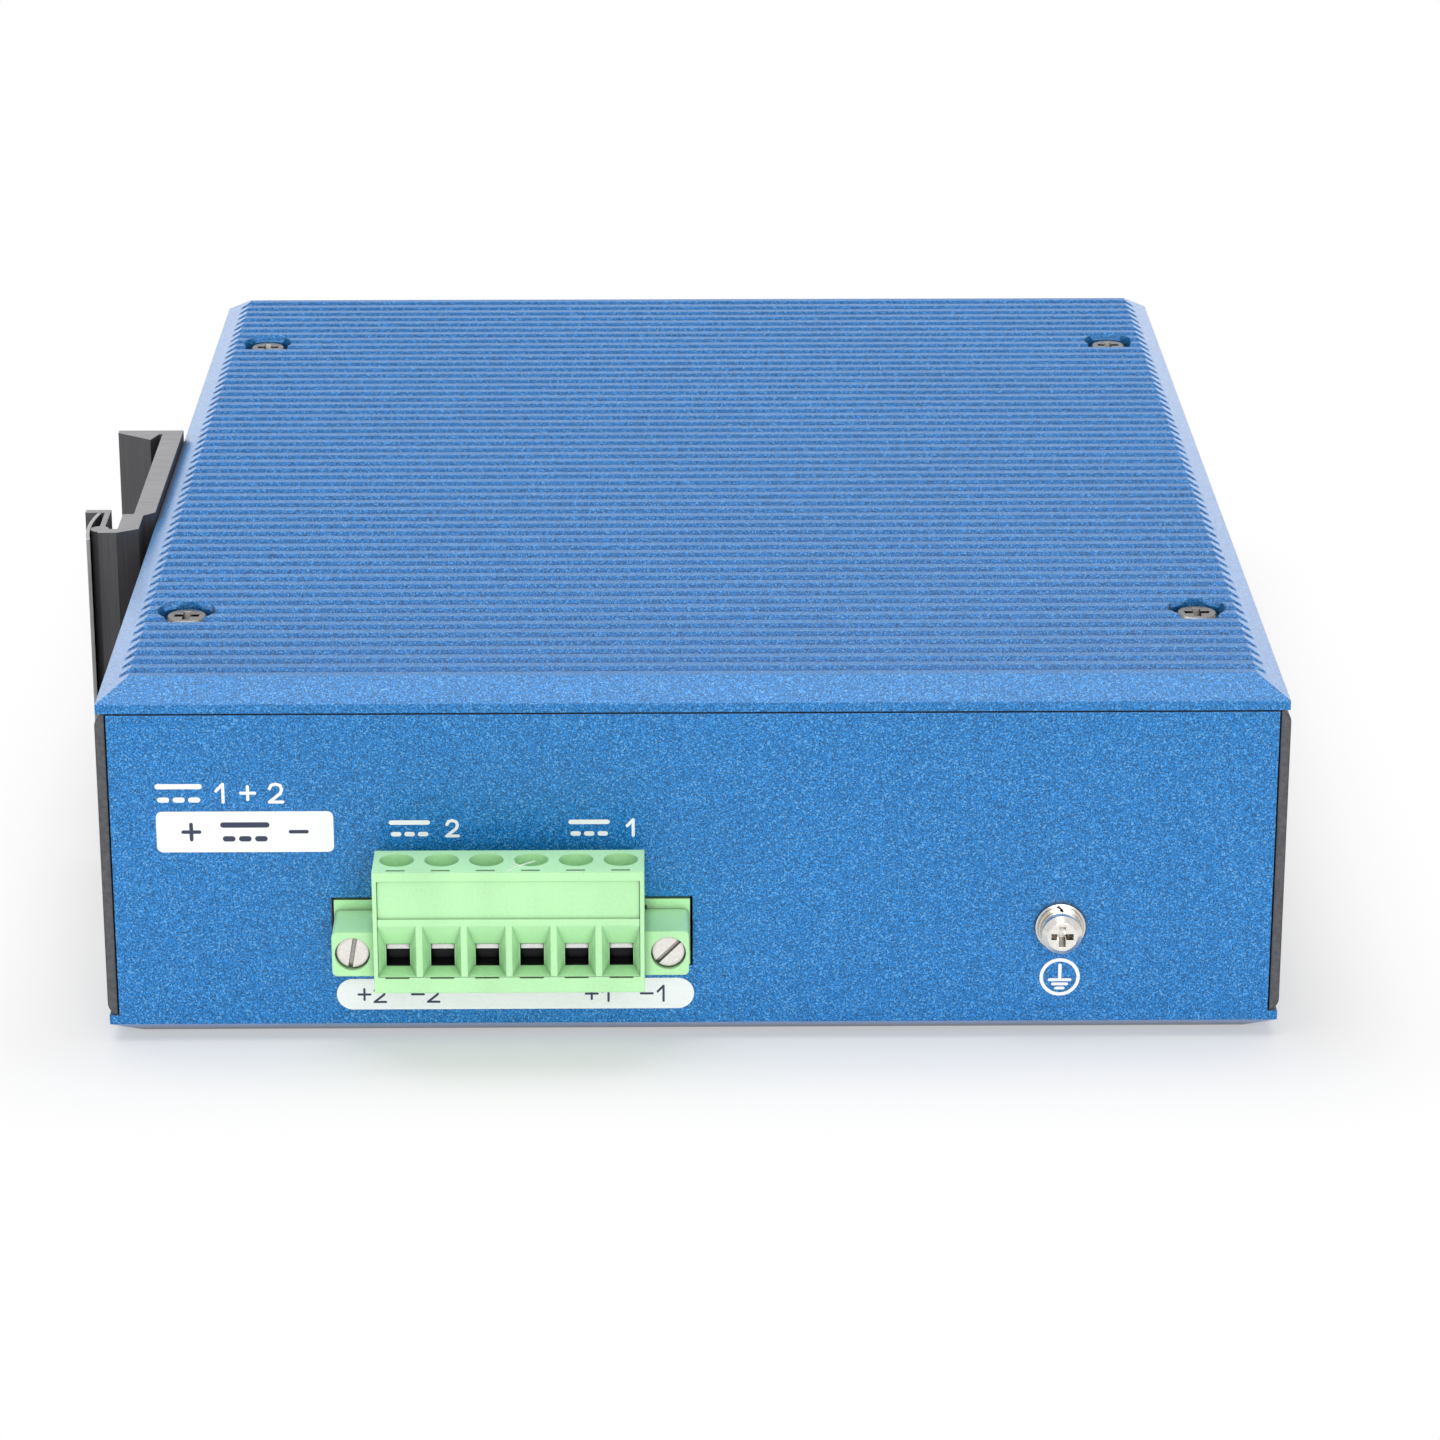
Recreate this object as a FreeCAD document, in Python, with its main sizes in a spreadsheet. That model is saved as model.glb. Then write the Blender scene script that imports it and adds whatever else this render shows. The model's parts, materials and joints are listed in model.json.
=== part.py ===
import FreeCAD, Part
import math
import os
import re

import Sketcher
from FreeCAD import Rotation, Vector

# An industrial network switch for a 35 mm DIN rail, lying on its broad ribbed side.
# Millimetres.  Within the casing, x runs across it from its middle (rail side negative, port
# side positive), y runs from the face with the power plug to the far end, z runs up from the
# ribs it rests on.  Places.case_x and case_y carry that frame to the middle of the whole part.

# Driving dimensions: cells of the sheet "Sizes".
SIZES = {
    # casing: two ribbed aluminium covers, end walls, two folded side panels
    "case_width": 136.0,
    "case_length": 173.0,
    "case_height": 43.9,
    "plate_thick": 3.3,
    "rim_thick": 1.1,
    "bevel_width": 3.5,
    "rib_pitch": 3.0,
    "rib_crest": 1.2,
    "groove_floor": 1.0,
    "groove_depth": 0.8,
    "end_wall": 2.5,
    "lid_gap": 0.2,
    "sheet_thick": 1.1,
    "sheet_proud": 0.15,
    "sheet_gap": 0.2,
    "bend_inside": 0.4,
    "flange_width": 12.6,
    # M3 fasteners; thread_bite is a share of the thread that holds, head_edge and the recess_
    # sizes are shares of a head's height or width
    "screw_side": 7.9,
    "screw_end": 27.0,
    "screw_shank": 3.0,
    "screw_hole": 3.4,
    "thread_gap": 0.05,
    "thread_spare": 0.5,
    "thread_bite": 0.8,
    "head_edge": 0.3,
    "recess_reach": 0.55,
    "recess_wing": 0.3,
    "recess_deep": 0.7,
    "head_dia": 5.45,
    "head_high": 1.7,
    "counterbore_dia": 6.9,
    "counterbore_depth": 2.35,
    "clinch_flats": 5.8,
    "clinch_high": 1.6,
    # DIN rail clip, an extrusion that runs across the casing's thickness, and its leaf spring
    "clip_length": 42.0,
    "clip_start": 68.0,
    "rail_slot": 35.6,
    "clip_base": 2.65,
    "block_lift": 1.4,
    "block_face": 4.05,
    "hook_gap": 1.65,
    "hook_depth": 6.2,
    "hook_floor": 1.6,
    "hook_reach": 8.9,
    "arm_thick": 0.7,
    "tee_thick": 1.2,
    "tee_beyond": 1.8,
    "nose_radius": 1.15,
    "lip_reach": 8.65,
    "lip_back": 1.7,
    "lip_nose": 2.7,
    "leaf_thick": 0.45,
    "leaf_tail": 4.2,
    "clip_screw_spread": 24.0,
    "countersink_dia": 6.2,
    "countersink_depth": 1.6,
    "sink_recess": 3.1,
    "sink_recess_deep": 1.28,
    "nut_flats": 5.5,
    "nut_high": 2.4,
    # circuit board and its pillars
    "board_rise": 4.6,
    "board_thick": 1.6,
    "board_gap": 1.2,
    "board_back_gap": 5.0,
    "pillar_flats": 5.5,
    "pillar_spigot_dia": 4.0,
    "pillar_spigot": 1.2,
    "pillar_inset_x": 18.0,
    "pillar_clear": 4.0,
    "pillar_inset_y": 11.0,
    # power terminal: a header on the board and a screw plug
    "pole_count": 6,
    "pole_pitch": 5.08,
    "terminal_inset": 26.45,
    "header_high": 8.2,
    "header_depth": 12.0,
    "header_floor": 1.2,
    "header_roof": 0.8,
    "header_back": 1.6,
    "header_edge": 5.0,
    "header_window_gap": 0.3,
    "ear_margin": 10.7,
    "pin_size": 1.0,
    "pin_free": 7.5,
    "plug_margin": 5.3,
    "plug_reach": 11.1,
    "plug_high": 14.7,
    "plug_lift": 1.3,
    "plug_top_depth": 6.8,
    "plug_tail": 7.0,
    "plug_play": 0.2,
    "ear_reach": 6.9,
    "ear_high": 5.4,
    "ear_edge": 4.7,
    "ear_corner": 0.6,
    "ear_screw_dia": 3.7,
    "ear_recess": 1.5,
    "ear_head_high": 0.9,
    "slot_width": 0.5,
    "ear_shank": 2.5,
    "ear_play": 0.3,
    "insert_dia": 4.0,
    "insert_length": 6.0,
    "frame_side": 0.5,
    "frame_top": 1.1,
    "frame_foot": 1.9,
    "face_thick": 2.2,
    "face_play": 0.05,
    "label_high": 4.6,
    "label_sunk": 0.3,
    "funnel_width": 4.35,
    "funnel_high": 6.2,
    "entry_width": 2.9,
    "entry_high": 2.65,
    "entry_lift": 0.55,
    "clamp_y": -7.2,
    "clamp_hole_dia": 3.9,
    "clamp_screw_dia": 2.5,
    "clamp_head_high": 1.8,
    "clamp_head_play": 0.3,
    "test_slot_wide": 2.1,
    "test_slot_high": 0.42,
    "test_slot_edge": 0.5,
    "test_slot_deep": 1.6,
    "cage_width": 3.9,
    "cage_depth": 2.7,
    "cage_high": 5.8,
    "cage_wall": 0.6,
    "contact_floor": 1.0,
    "tongue_thick": 0.7,
    "contact_width": 2.6,
    "contact_high": 3.3,
    # earth screw with a split and a flat washer
    "earth_x": 42.4,
    "earth_z": 14.1,
    "earth_head_dia": 4.7,
    "earth_head_high": 2.1,
    "earth_bite": 4.0,
    "lock_dia": 5.15,
    "lock_thick": 0.8,
    "lock_split": 0.32,
    "lock_slant": 25,
    "flat_dia": 5.8,
    "flat_thick": 0.5,
    # network jacks, in two gangs behind the port panel
    "port_count": 4,
    "port_pitch": 14.0,
    "gang_edge": 1.1,
    "gang_gap": 20.0,
    "jack_high": 13.3,
    "jack_depth": 24.0,
    "jack_proud": 0.4,
    "jack_window_gap": 0.3,
    "shield_thick": 0.3,
    "port_width": 11.8,
    "port_high": 6.8,
    "port_lift": 4.3,
    "latch_width": 6.2,
    "latch_high": 1.3,
    "key_width": 3.4,
    "key_high": 0.9,
    "port_depth": 13.5,
    "wire_pitch": 1.02,
    "wire_thick": 0.4,
    "wire_dip": 2.1,
    "wire_count": 8,
    "wire_reach": 10.125,
    # status lamps between the two gangs of jacks
    "lamp_count": 4,
    "lamp_pitch": 4.4,
    "lamp_dia": 3.0,
    "lamp_play": 0.1,
    "lamp_rise": 4.5,
    "lamp_block_high": 7.0,
    "lamp_block_depth": 6.0,
    "lamp_cone": 0.6,
    # parts on the board
    "chip_side": 23.0,
    "chip_high": 2.0,
    "chip_x": -8.0,
    "chip_y": 104.0,
    "sink_side": 36.0,
    "sink_base": 2.5,
    "sink_high": 14.0,
    "fin_count": 10,
    "fin_thick": 1.2,
    "memory_x": 16.0,
    "memory_y": 92.0,
    "memory_pitch": 14.0,
    "memory_width": 10.0,
    "memory_depth": 8.0,
    "memory_high": 1.2,
    "memory_count": 2,
    "can_count": 3,
    "can_dia": 10.0,
    "can_roll": 0.6,
    "can_high": 16.0,
    "can_x": -40.0,
    "can_y": 32.0,
    "can_pitch": 13.0,
    "core_x": -24.0,
    "core_y": 55.0,
    "core_width": 20.0,
    "core_depth": 14.0,
    "core_high": 14.0,
    "core_limb": 3.08,
    "core_window": 14.0,
    "winding_dia": 15.4,
    "choke_x": 4.0,
    "choke_y": 38.0,
    "choke_side": 12.0,
    "choke_high": 7.0,
    "choke_corner": 1.8,
    "relay_x": 12.0,
    "relay_y": 18.0,
    "relay_width": 19.0,
    "relay_depth": 10.0,
    "relay_high": 15.0,
}

# Dimensions that follow: formulas in the sheet "Places", in order.
PLACES = {
    "sheet_out": "case_width / 2 + sheet_proud",
    "sheet_in": "sheet_out - sheet_thick",
    "wall_half": "sheet_in - sheet_gap",
    "wall_top": "case_height - plate_thick - lid_gap",
    "lid_under": "case_height - plate_thick",
    "bevel_high": "plate_thick - rim_thick",
    "plateau": "case_length - 2 * bevel_width",
    "rib_count": "round((plateau - rib_crest) / rib_pitch)",
    "rib_step": "(plateau - rib_crest) / rib_count",
    "case_x": "(hook_reach - jack_proud) / 2",
    "case_y": "(plug_reach - case_length) / 2",
    "screw_x": "case_width / 2 - screw_side",
    "screw_far": "case_length - screw_end",
    "thread_hole": "screw_shank + 2 * thread_gap",
    "flange_end": "sheet_out - flange_width",
    "board_low": "plate_thick + board_rise",
    "board_top": "board_low + board_thick",
    "board_near": "end_wall + board_gap",
    "board_far": "case_length - end_wall - board_gap",
    "board_port": "sheet_in - board_gap",
    "board_back": "board_back_gap - sheet_in",
    "jack_front": "sheet_out + jack_proud",
    "pillar_rail": "pillar_inset_x - wall_half",
    "pillar_port": "jack_front - jack_depth - pillar_clear",
    "pillar_far": "case_length - pillar_inset_y",
    "pole_span": "(pole_count - 1) * pole_pitch",
    "ear_span": "pole_span + ear_margin",
    "header_width": "ear_span + header_edge",
    "terminal_x": "terminal_inset + header_width / 2 - case_width / 2",
    "pole_first": "terminal_x - pole_span / 2",
    "header_top": "board_top + header_high",
    "cavity_low": "board_top + header_floor",
    "cavity_top": "header_top - header_roof",
    "pin_z": "(cavity_low + cavity_top) / 2",
    "plug_width": "pole_span + plug_margin",
    "plug_low": "board_top + plug_lift",
    "plug_top": "plug_low + plug_high",
    "tail_top": "cavity_top - plug_play",
    "tail_low": "cavity_low + plug_play",
    "ear_width": "ear_span + ear_edge",
    "face_half": "plug_width / 2 - frame_side",
    "face_low": "plug_low + frame_foot",
    "face_top": "plug_top - frame_top",
    "entry_low": "face_low + entry_lift",
    "cage_low": "entry_low - cage_wall",
    "tongue_low": "entry_low + entry_high - tongue_thick",
    "sink_pitch": "(sink_side - fin_thick) / (fin_count - 1)",
    "gang_length": "port_count * port_pitch + 2 * gang_edge",
    "gang_offset": "(gang_length + gang_gap) / 2",
    "gang_middle": "case_length / 2",
    "jack_back": "jack_front - jack_depth",
    "jack_top": "board_top + jack_high",
    "port_low": "board_top + port_lift",
    "port_top": "port_low + port_high",
    "lamp_first": "gang_middle - (lamp_count - 1) * lamp_pitch / 2",
    "lamp_z": "board_top + lamp_rise",
    "rail_end": "clip_start + rail_slot",
}

doc = FreeCAD.newDocument("din_rail_switch")


def spelled(formula, own_sheet=False):
    """The formula with each size spelled as a cell of the sheet that holds it."""
    def cell(match):
        word = match.group(0)
        if word in SIZES:
            return "Sizes." + word
        if word in PLACES and not own_sheet:
            return "Places." + word
        return word
    return re.sub(r"[a-z_][a-z_0-9]*", cell, formula)


def fill_sheets():
    """Write the driving sizes as plain numbers and what follows from them as formulas."""
    sizes = doc.addObject("Spreadsheet::Sheet", "Sizes")
    for row, (name, number) in enumerate(SIZES.items(), start=1):
        sizes.set(f"A{row}", name)
        sizes.set(f"B{row}", str(number))
        sizes.setAlias(f"B{row}", name)
    places = doc.addObject("Spreadsheet::Sheet", "Places")
    for row, (name, formula) in enumerate(PLACES.items(), start=1):
        places.set(f"A{row}", name)
        places.set(f"B{row}", "=" + spelled(formula, own_sheet=True))
        places.setAlias(f"B{row}", name)
    doc.recompute()
    return sizes, places


sizes_sheet, places_sheet = fill_sheets()


def size(name):
    """The number that a cell holds now."""
    sheet = sizes_sheet if name in SIZES else places_sheet
    return float(getattr(sheet, name))


def bind(thing, **formulas):
    """Tie properties to formulas; a double underscore in a name stands for a dot."""
    for prop, formula in formulas.items():
        thing.setExpression(prop.replace("__", "."), spelled(formula))


# ---------------------------------------------------------------- shared ways of building

def new_body(name):
    """A body whose own frame is the casing's."""
    body = doc.addObject("PartDesign::Body", name)
    body.Label = name
    bind(body, Placement__Base__x="case_x", Placement__Base__y="case_y")
    return body


def origin_feature(body, role):
    return next(item for item in body.Origin.OriginFeatures if item.Role == role)


def new_sketch(body, name, plane, level):
    """A sketch parallel to an origin plane, at a level along that plane's axis."""
    sketch = body.newObject("Sketcher::SketchObject", f"{body.Name}_{name}")
    sketch.AttachmentSupport = [(origin_feature(body, plane + "_Plane"), "")]
    sketch.MapMode = "FlatFace"
    sign = "-" if plane == "XZ" else ""
    bind(sketch, AttachmentOffset__Base__z=f"{sign}({level})")
    return sketch


def pin_point(sketch, edge, end, u_formula, v_formula, start):
    """Hold one point of the sketch at two formulas."""
    for kind, formula, now in (("DistanceX", u_formula, start.x), ("DistanceY", v_formula, start.y)):
        index = sketch.addConstraint(Sketcher.Constraint(kind, edge, end, now))
        sketch.setExpression(f"Constraints[{index}]", spelled(formula))


def outline(sketch, corners):
    """A closed outline of straight edges through corners given as pairs of formulas."""
    count = len(corners)
    first = sketch.GeometryCount
    ring = [Vector(math.cos(2 * math.pi * i / count), math.sin(2 * math.pi * i / count), 0)
            for i in range(count)]
    for i in range(count):
        sketch.addGeometry(Part.LineSegment(ring[i], ring[(i + 1) % count]))
    for i in range(count):
        following = first + (i + 1) % count
        sketch.addConstraint(Sketcher.Constraint("Coincident", first + i, 2, following, 1))
    for i, (u_formula, v_formula) in enumerate(corners):
        pin_point(sketch, first + i, 1, u_formula, v_formula, ring[i])


def rectangle(sketch, u_low, u_high, v_low, v_high):
    outline(sketch, [(u_low, v_low), (u_high, v_low), (u_high, v_high), (u_low, v_high)])


def circle(sketch, u_formula, v_formula, diameter):
    index = sketch.addGeometry(Part.Circle(Vector(0, 0, 0), Vector(0, 0, 1), 1))
    pin_point(sketch, index, 3, u_formula, v_formula, Vector(0, 0, 0))
    width = sketch.addConstraint(Sketcher.Constraint("Diameter", index, 2))
    sketch.setExpression(f"Constraints[{width}]", spelled(diameter))


def sweep_sketch(kind, body, sketch, length):
    """A pad or pocket that reaches half its length to each side of its sketch."""
    feature = body.newObject("PartDesign::" + kind, f"{sketch.Name}_{kind.lower()}")
    feature.Profile = sketch
    feature.SideType = "Symmetric"
    bind(feature, Length=length)
    return feature


def pad(body, sketch, length):
    return sweep_sketch("Pad", body, sketch, length)


def pocket(body, sketch, length):
    return sweep_sketch("Pocket", body, sketch, length)


def loft(kind, body, first, last):
    """A straight-sided loft between two sketches, added or taken away."""
    feature = body.newObject(f"PartDesign::{kind}Loft", first.Name + "_loft")
    feature.Profile = first
    feature.Sections = [last]
    feature.Ruled = True
    return feature


def repeat(body, feature, axis, count, spacing):
    """Copies of a feature in a row along one of the body's axes."""
    pattern = body.newObject("PartDesign::LinearPattern", feature.Name + "_row")
    pattern.Originals = [feature]
    pattern.Direction = (origin_feature(body, axis + "_Axis"), [""])
    pattern.Mode = "Spacing"
    bind(pattern, Offset=spacing, Occurrences=count)
    body.Tip = pattern
    return pattern


def round_edges(body, radius, wanted):
    """Fillet the edges of the body's tip for which wanted(middle point, direction) holds."""
    doc.recompute()
    tip = body.Tip
    names = []
    for index, edge in enumerate(tip.Shape.Edges, start=1):
        if edge.Curve.TypeId != "Part::GeomLine":
            continue
        middle = edge.valueAt((edge.FirstParameter + edge.LastParameter) / 2)
        if wanted(middle, edge.tangentAt(edge.FirstParameter)):
            names.append(f"Edge{index}")
    fillet = body.newObject("PartDesign::Fillet", f"{tip.Name}_round")
    fillet.Base = (tip, names)
    bind(fillet, Radius=radius)
    return fillet


def near(first, second):
    return abs(first - second) < 0.01


def new_feature(name, shape):
    """A sub-part whose shape is made from the sheets' numbers, placed with the casing."""
    feature = doc.addObject("Part::Feature", name)
    feature.Label = name
    feature.Shape = shape if shape.Placement.isIdentity() else Part.makeCompound([shape])
    bind(feature, Placement__Base__x="case_x", Placement__Base__y="case_y")
    return feature


def block(name, x_low, y_low, z_low, x_size, y_size, z_size):
    """A rectangular block."""
    box = doc.addObject("Part::Box", name)
    box.Label = name
    bind(box, Length=x_size, Width=y_size, Height=z_size,
         Placement__Base__x=f"case_x + {x_low}", Placement__Base__y=f"case_y + {y_low}",
         Placement__Base__z=z_low)
    return box


def box_between(low, high):
    """A box shape from two opposite corners."""
    return Part.makeBox(high[0] - low[0], high[1] - low[1], high[2] - low[2], Vector(*low))


def turned(points):
    """A solid turned about the Z axis from a closed profile of radius and height pairs."""
    wire = Part.makePolygon([Vector(radius, 0, height) for radius, height in points + points[:1]])
    return Part.Face(wire).revolve(Vector(0, 0, 0), Vector(0, 0, 1), 360)


def placed(shape, spot, axis=Vector(0, 0, 1)):
    """A copy of a shape whose own Z axis is turned to an axis and whose origin goes to a spot."""
    copy = shape.copy()
    move = FreeCAD.Placement(Vector(*spot), Rotation(Vector(0, 0, 1), axis))
    copy.Placement = move.multiply(shape.Placement)
    return copy


def cross_recess(width, depth, top):
    """The tool that leaves a Phillips recess: two crossed wedges that meet below the head's top."""
    wing = width * size("recess_wing")
    wedge = Part.makePolygon([Vector(-width / 2, -wing / 2, top), Vector(width / 2, -wing / 2, top),
                              Vector(width / 5, -wing / 2, top - depth),
                              Vector(-width / 5, -wing / 2, top - depth),
                              Vector(-width / 2, -wing / 2, top)])
    bar = Part.Face(wedge).extrude(Vector(0, wing, 0))
    cross_bar = bar.copy()
    cross_bar.rotate(Vector(0, 0, 0), Vector(0, 0, 1), 90)
    return bar.fuse(cross_bar)


def pan_screw(head_dia, head_high, shank_dia, length):
    """A pan-head Phillips screw: the head stands on z = 0, the shank points down."""
    radius = head_dia / 2
    edge = head_high * size("head_edge")
    profile = [(0, -length), (shank_dia / 2, -length), (shank_dia / 2, 0), (radius, 0),
               (radius, head_high - edge), (radius - edge, head_high), (0, head_high)]
    recess = cross_recess(head_dia * size("recess_reach"), head_high * size("recess_deep"), head_high)
    return turned(profile).cut(recess)


def slot_screw(head_dia, head_high, shank_dia, length):
    """A cheese-head slotted screw: the head stands on z = 0, the shank points down."""
    radius = head_dia / 2
    profile = [(0, -length), (shank_dia / 2, -length), (shank_dia / 2, 0), (radius, 0),
               (radius, head_high), (0, head_high)]
    slot_width = size("slot_width")
    slot = Part.makeBox(head_dia, slot_width, head_high, Vector(-radius, -slot_width / 2, head_high / 2))
    return turned(profile).cut(slot)


def hexagon(flats, height, bore):
    """A hexagonal prism on z = 0 with a round bore."""
    reach = flats / math.sqrt(3)
    corners = [Vector(reach * math.cos(math.radians(60 * i)), reach * math.sin(math.radians(60 * i)), 0)
               for i in range(7)]
    prism = Part.Face(Part.makePolygon(corners)).extrude(Vector(0, 0, height))
    return prism.cut(Part.makeCylinder(bore / 2, height))


def cover_screw_spots():
    """Places in plan of the screws that hold a cover to the two side panels."""
    return [(side + "screw_x", along) for side in ("-", "") for along in ("screw_end", "screw_far")]


# ---------------------------------------------------------------- casing

def ribbed_plate(body, crest, bevel_edge, rim_middle, groove_low, groove_over):
    """A cover plate: a rim, a bevel all round, and grooves that run out through the bevel."""
    rim = new_sketch(body, "rim", "XY", rim_middle)
    rectangle(rim, "-case_width / 2", "case_width / 2", "0", "case_length")
    pad(body, rim, "rim_thick")
    wide = new_sketch(body, "bevel_foot", "XY", bevel_edge)
    rectangle(wide, "-case_width / 2", "case_width / 2", "0", "case_length")
    narrow = new_sketch(body, "bevel_crest", "XY", crest)
    rectangle(narrow, "bevel_width - case_width / 2", "case_width / 2 - bevel_width",
              "bevel_width", "case_length - bevel_width")
    loft("Additive", body, wide, narrow)
    groove = new_sketch(body, "groove", "YZ", "0")
    start = "bevel_width + rib_crest"
    end = "bevel_width + rib_step"
    slope = "(rib_step - rib_crest - groove_floor) / 2"
    outline(groove, [(start, groove_over), (start, crest), (f"{start} + {slope}", groove_low),
                     (f"{end} - {slope}", groove_low), (end, crest), (end, groove_over)])
    cut = pocket(body, groove, "case_width + 2")
    repeat(body, cut, "Y", "rib_count", "rib_step")


def counterbores(body, crest):
    """Four stepped holes for the screws that join a cover to the side panels."""
    wide = new_sketch(body, "counterbores", "XY", crest)
    through = new_sketch(body, "screw_holes", "XY", crest)
    for x_formula, y_formula in cover_screw_spots():
        circle(wide, x_formula, y_formula, "counterbore_dia")
        circle(through, x_formula, y_formula, "screw_hole")
    pocket(body, wide, "2 * counterbore_depth")
    pocket(body, through, "3 * plate_thick")


def top_cover():
    body = new_body("top_cover")
    ribbed_plate(body, "case_height", "case_height - bevel_high", "lid_under + rim_thick / 2",
                 "case_height - groove_depth", "case_height + groove_depth")
    counterbores(body, "case_height")
    return body


def base_tray():
    """The ribbed floor with its two end walls; the near wall has the terminal window."""
    body = new_body("base_tray")
    ribbed_plate(body, "0", "bevel_high", "plate_thick - rim_thick / 2",
                 "groove_depth", "-groove_depth")
    for name, middle in (("near_wall", "end_wall / 2"), ("far_wall", "case_length - end_wall / 2")):
        wall = new_sketch(body, name, "XZ", middle)
        rectangle(wall, "-wall_half", "wall_half", "plate_thick", "wall_top")
        pad(body, wall, "end_wall")
    window = new_sketch(body, "terminal_window", "XZ", "end_wall / 2")
    half = "(header_width / 2 + header_window_gap)"
    rectangle(window, f"terminal_x - {half}", f"terminal_x + {half}",
              "board_top - header_window_gap / 2", "header_top + header_window_gap")
    circle(window, "earth_x", "earth_z", "thread_hole")
    pocket(body, window, "2 * end_wall")
    counterbores(body, "0")
    pillars = new_sketch(body, "pillar_holes", "XY", "plate_thick")
    for across, along in pillar_places():
        circle(pillars, across, along, "pillar_spigot_dia + 2 * thread_gap")
    pocket(body, pillars, "2 * (pillar_spigot + thread_gap)")
    return body


def folded_panel(name, side):
    """A channel folded from sheet: its web closes one side, its flanges carry the covers."""
    sign = "" if side > 0 else "-"
    body = new_body(name)
    profile = new_sketch(body, "profile", "XZ", "case_length / 2")
    outer = f"{sign}sheet_out"
    inner = f"{sign}sheet_in"
    edge = f"{sign}flange_end"
    outline(profile, [(outer, "plate_thick"), (outer, "lid_under"), (edge, "lid_under"),
                      (edge, "lid_under - sheet_thick"), (inner, "lid_under - sheet_thick"),
                      (inner, "plate_thick + sheet_thick"), (edge, "plate_thick + sheet_thick"),
                      (edge, "plate_thick")])
    pad(body, profile, "case_length - sheet_gap")
    round_edges(body, "bend_inside + sheet_thick",
                lambda spot, way: near(abs(way.y), 1) and near(abs(spot.x), size("sheet_out")))
    round_edges(body, "bend_inside",
                lambda spot, way: near(abs(way.y), 1) and near(abs(spot.x), size("sheet_in")))
    notches = new_sketch(body, "notches", "XY", "case_height / 2")
    cut_edge = f"{sign}(flange_end - sheet_gap)"
    rectangle(notches, cut_edge, inner, "-end_wall", "end_wall + sheet_gap")
    rectangle(notches, cut_edge, inner, "case_length - end_wall - sheet_gap", "case_length + end_wall")
    pocket(body, notches, "case_height")
    holes = new_sketch(body, "flange_holes", "XY", "case_height / 2")
    for along in ("screw_end", "screw_far"):
        circle(holes, sign + "screw_x", along, "screw_hole")
    pocket(body, holes, "case_height")
    return body


def port_panel():
    """The front side: a window for each gang of jacks and a hole for each lamp."""
    body = folded_panel("port_panel", 1)
    openings = new_sketch(body, "openings", "YZ", "sheet_out")
    half = "(gang_length / 2 + jack_window_gap)"
    for sign in ("-", "+"):
        middle = f"gang_middle {sign} gang_offset"
        rectangle(openings, f"{middle} - {half}", f"{middle} + {half}",
                  "board_top - jack_window_gap", "jack_top + jack_window_gap")
    for lamp in range(int(SIZES["lamp_count"])):
        circle(openings, f"lamp_first + {lamp} * lamp_pitch", "lamp_z", "lamp_dia + 2 * lamp_play")
    pocket(body, openings, "3 * sheet_thick")
    return body


def clip_screw_levels():
    return [f"case_height / 2 {sign} clip_screw_spread / 2" for sign in ("-", "+")]


def rear_panel():
    """The rail side: plain but for the two screws of the rail clip."""
    body = folded_panel("rear_panel", -1)
    holes = new_sketch(body, "clip_holes", "YZ", "-sheet_out")
    for level in clip_screw_levels():
        circle(holes, "clip_start + rail_slot / 2", level, "screw_hole")
    pocket(body, holes, "3 * sheet_thick")
    return body


def cover_screws(name, seat, up):
    """Four Phillips screws, their heads sunk in one cover, driven into the clinch nuts."""
    length = size("plate_thick") - size("counterbore_depth") + size("sheet_thick")
    length += size("clinch_high") + size("thread_hole") / 4
    screw = pan_screw(size("head_dia"), size("head_high"), size("screw_shank"), length)
    spots = [(side * size("screw_x"), along) for side in (-1, 1)
             for along in (size("screw_end"), size("screw_far"))]
    return new_feature(name, Part.makeCompound([placed(screw, spot + (seat,), Vector(0, 0, up))
                                                for spot in spots]))


def clinch_nuts():
    """Nuts pressed into the inside of the side panels' flanges, one for each cover screw."""
    ring = hexagon(size("clinch_flats"), size("clinch_high"), size("thread_hole"))
    levels = [size("plate_thick") + size("sheet_thick"),
              size("lid_under") - size("sheet_thick") - size("clinch_high")]
    nuts = [placed(ring, (side * size("screw_x"), along, level)) for side in (-1, 1)
            for along in (size("screw_end"), size("screw_far")) for level in levels]
    return new_feature("clinch_nuts", Part.makeCompound(nuts))


# ---------------------------------------------------------------- rail clip

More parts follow.
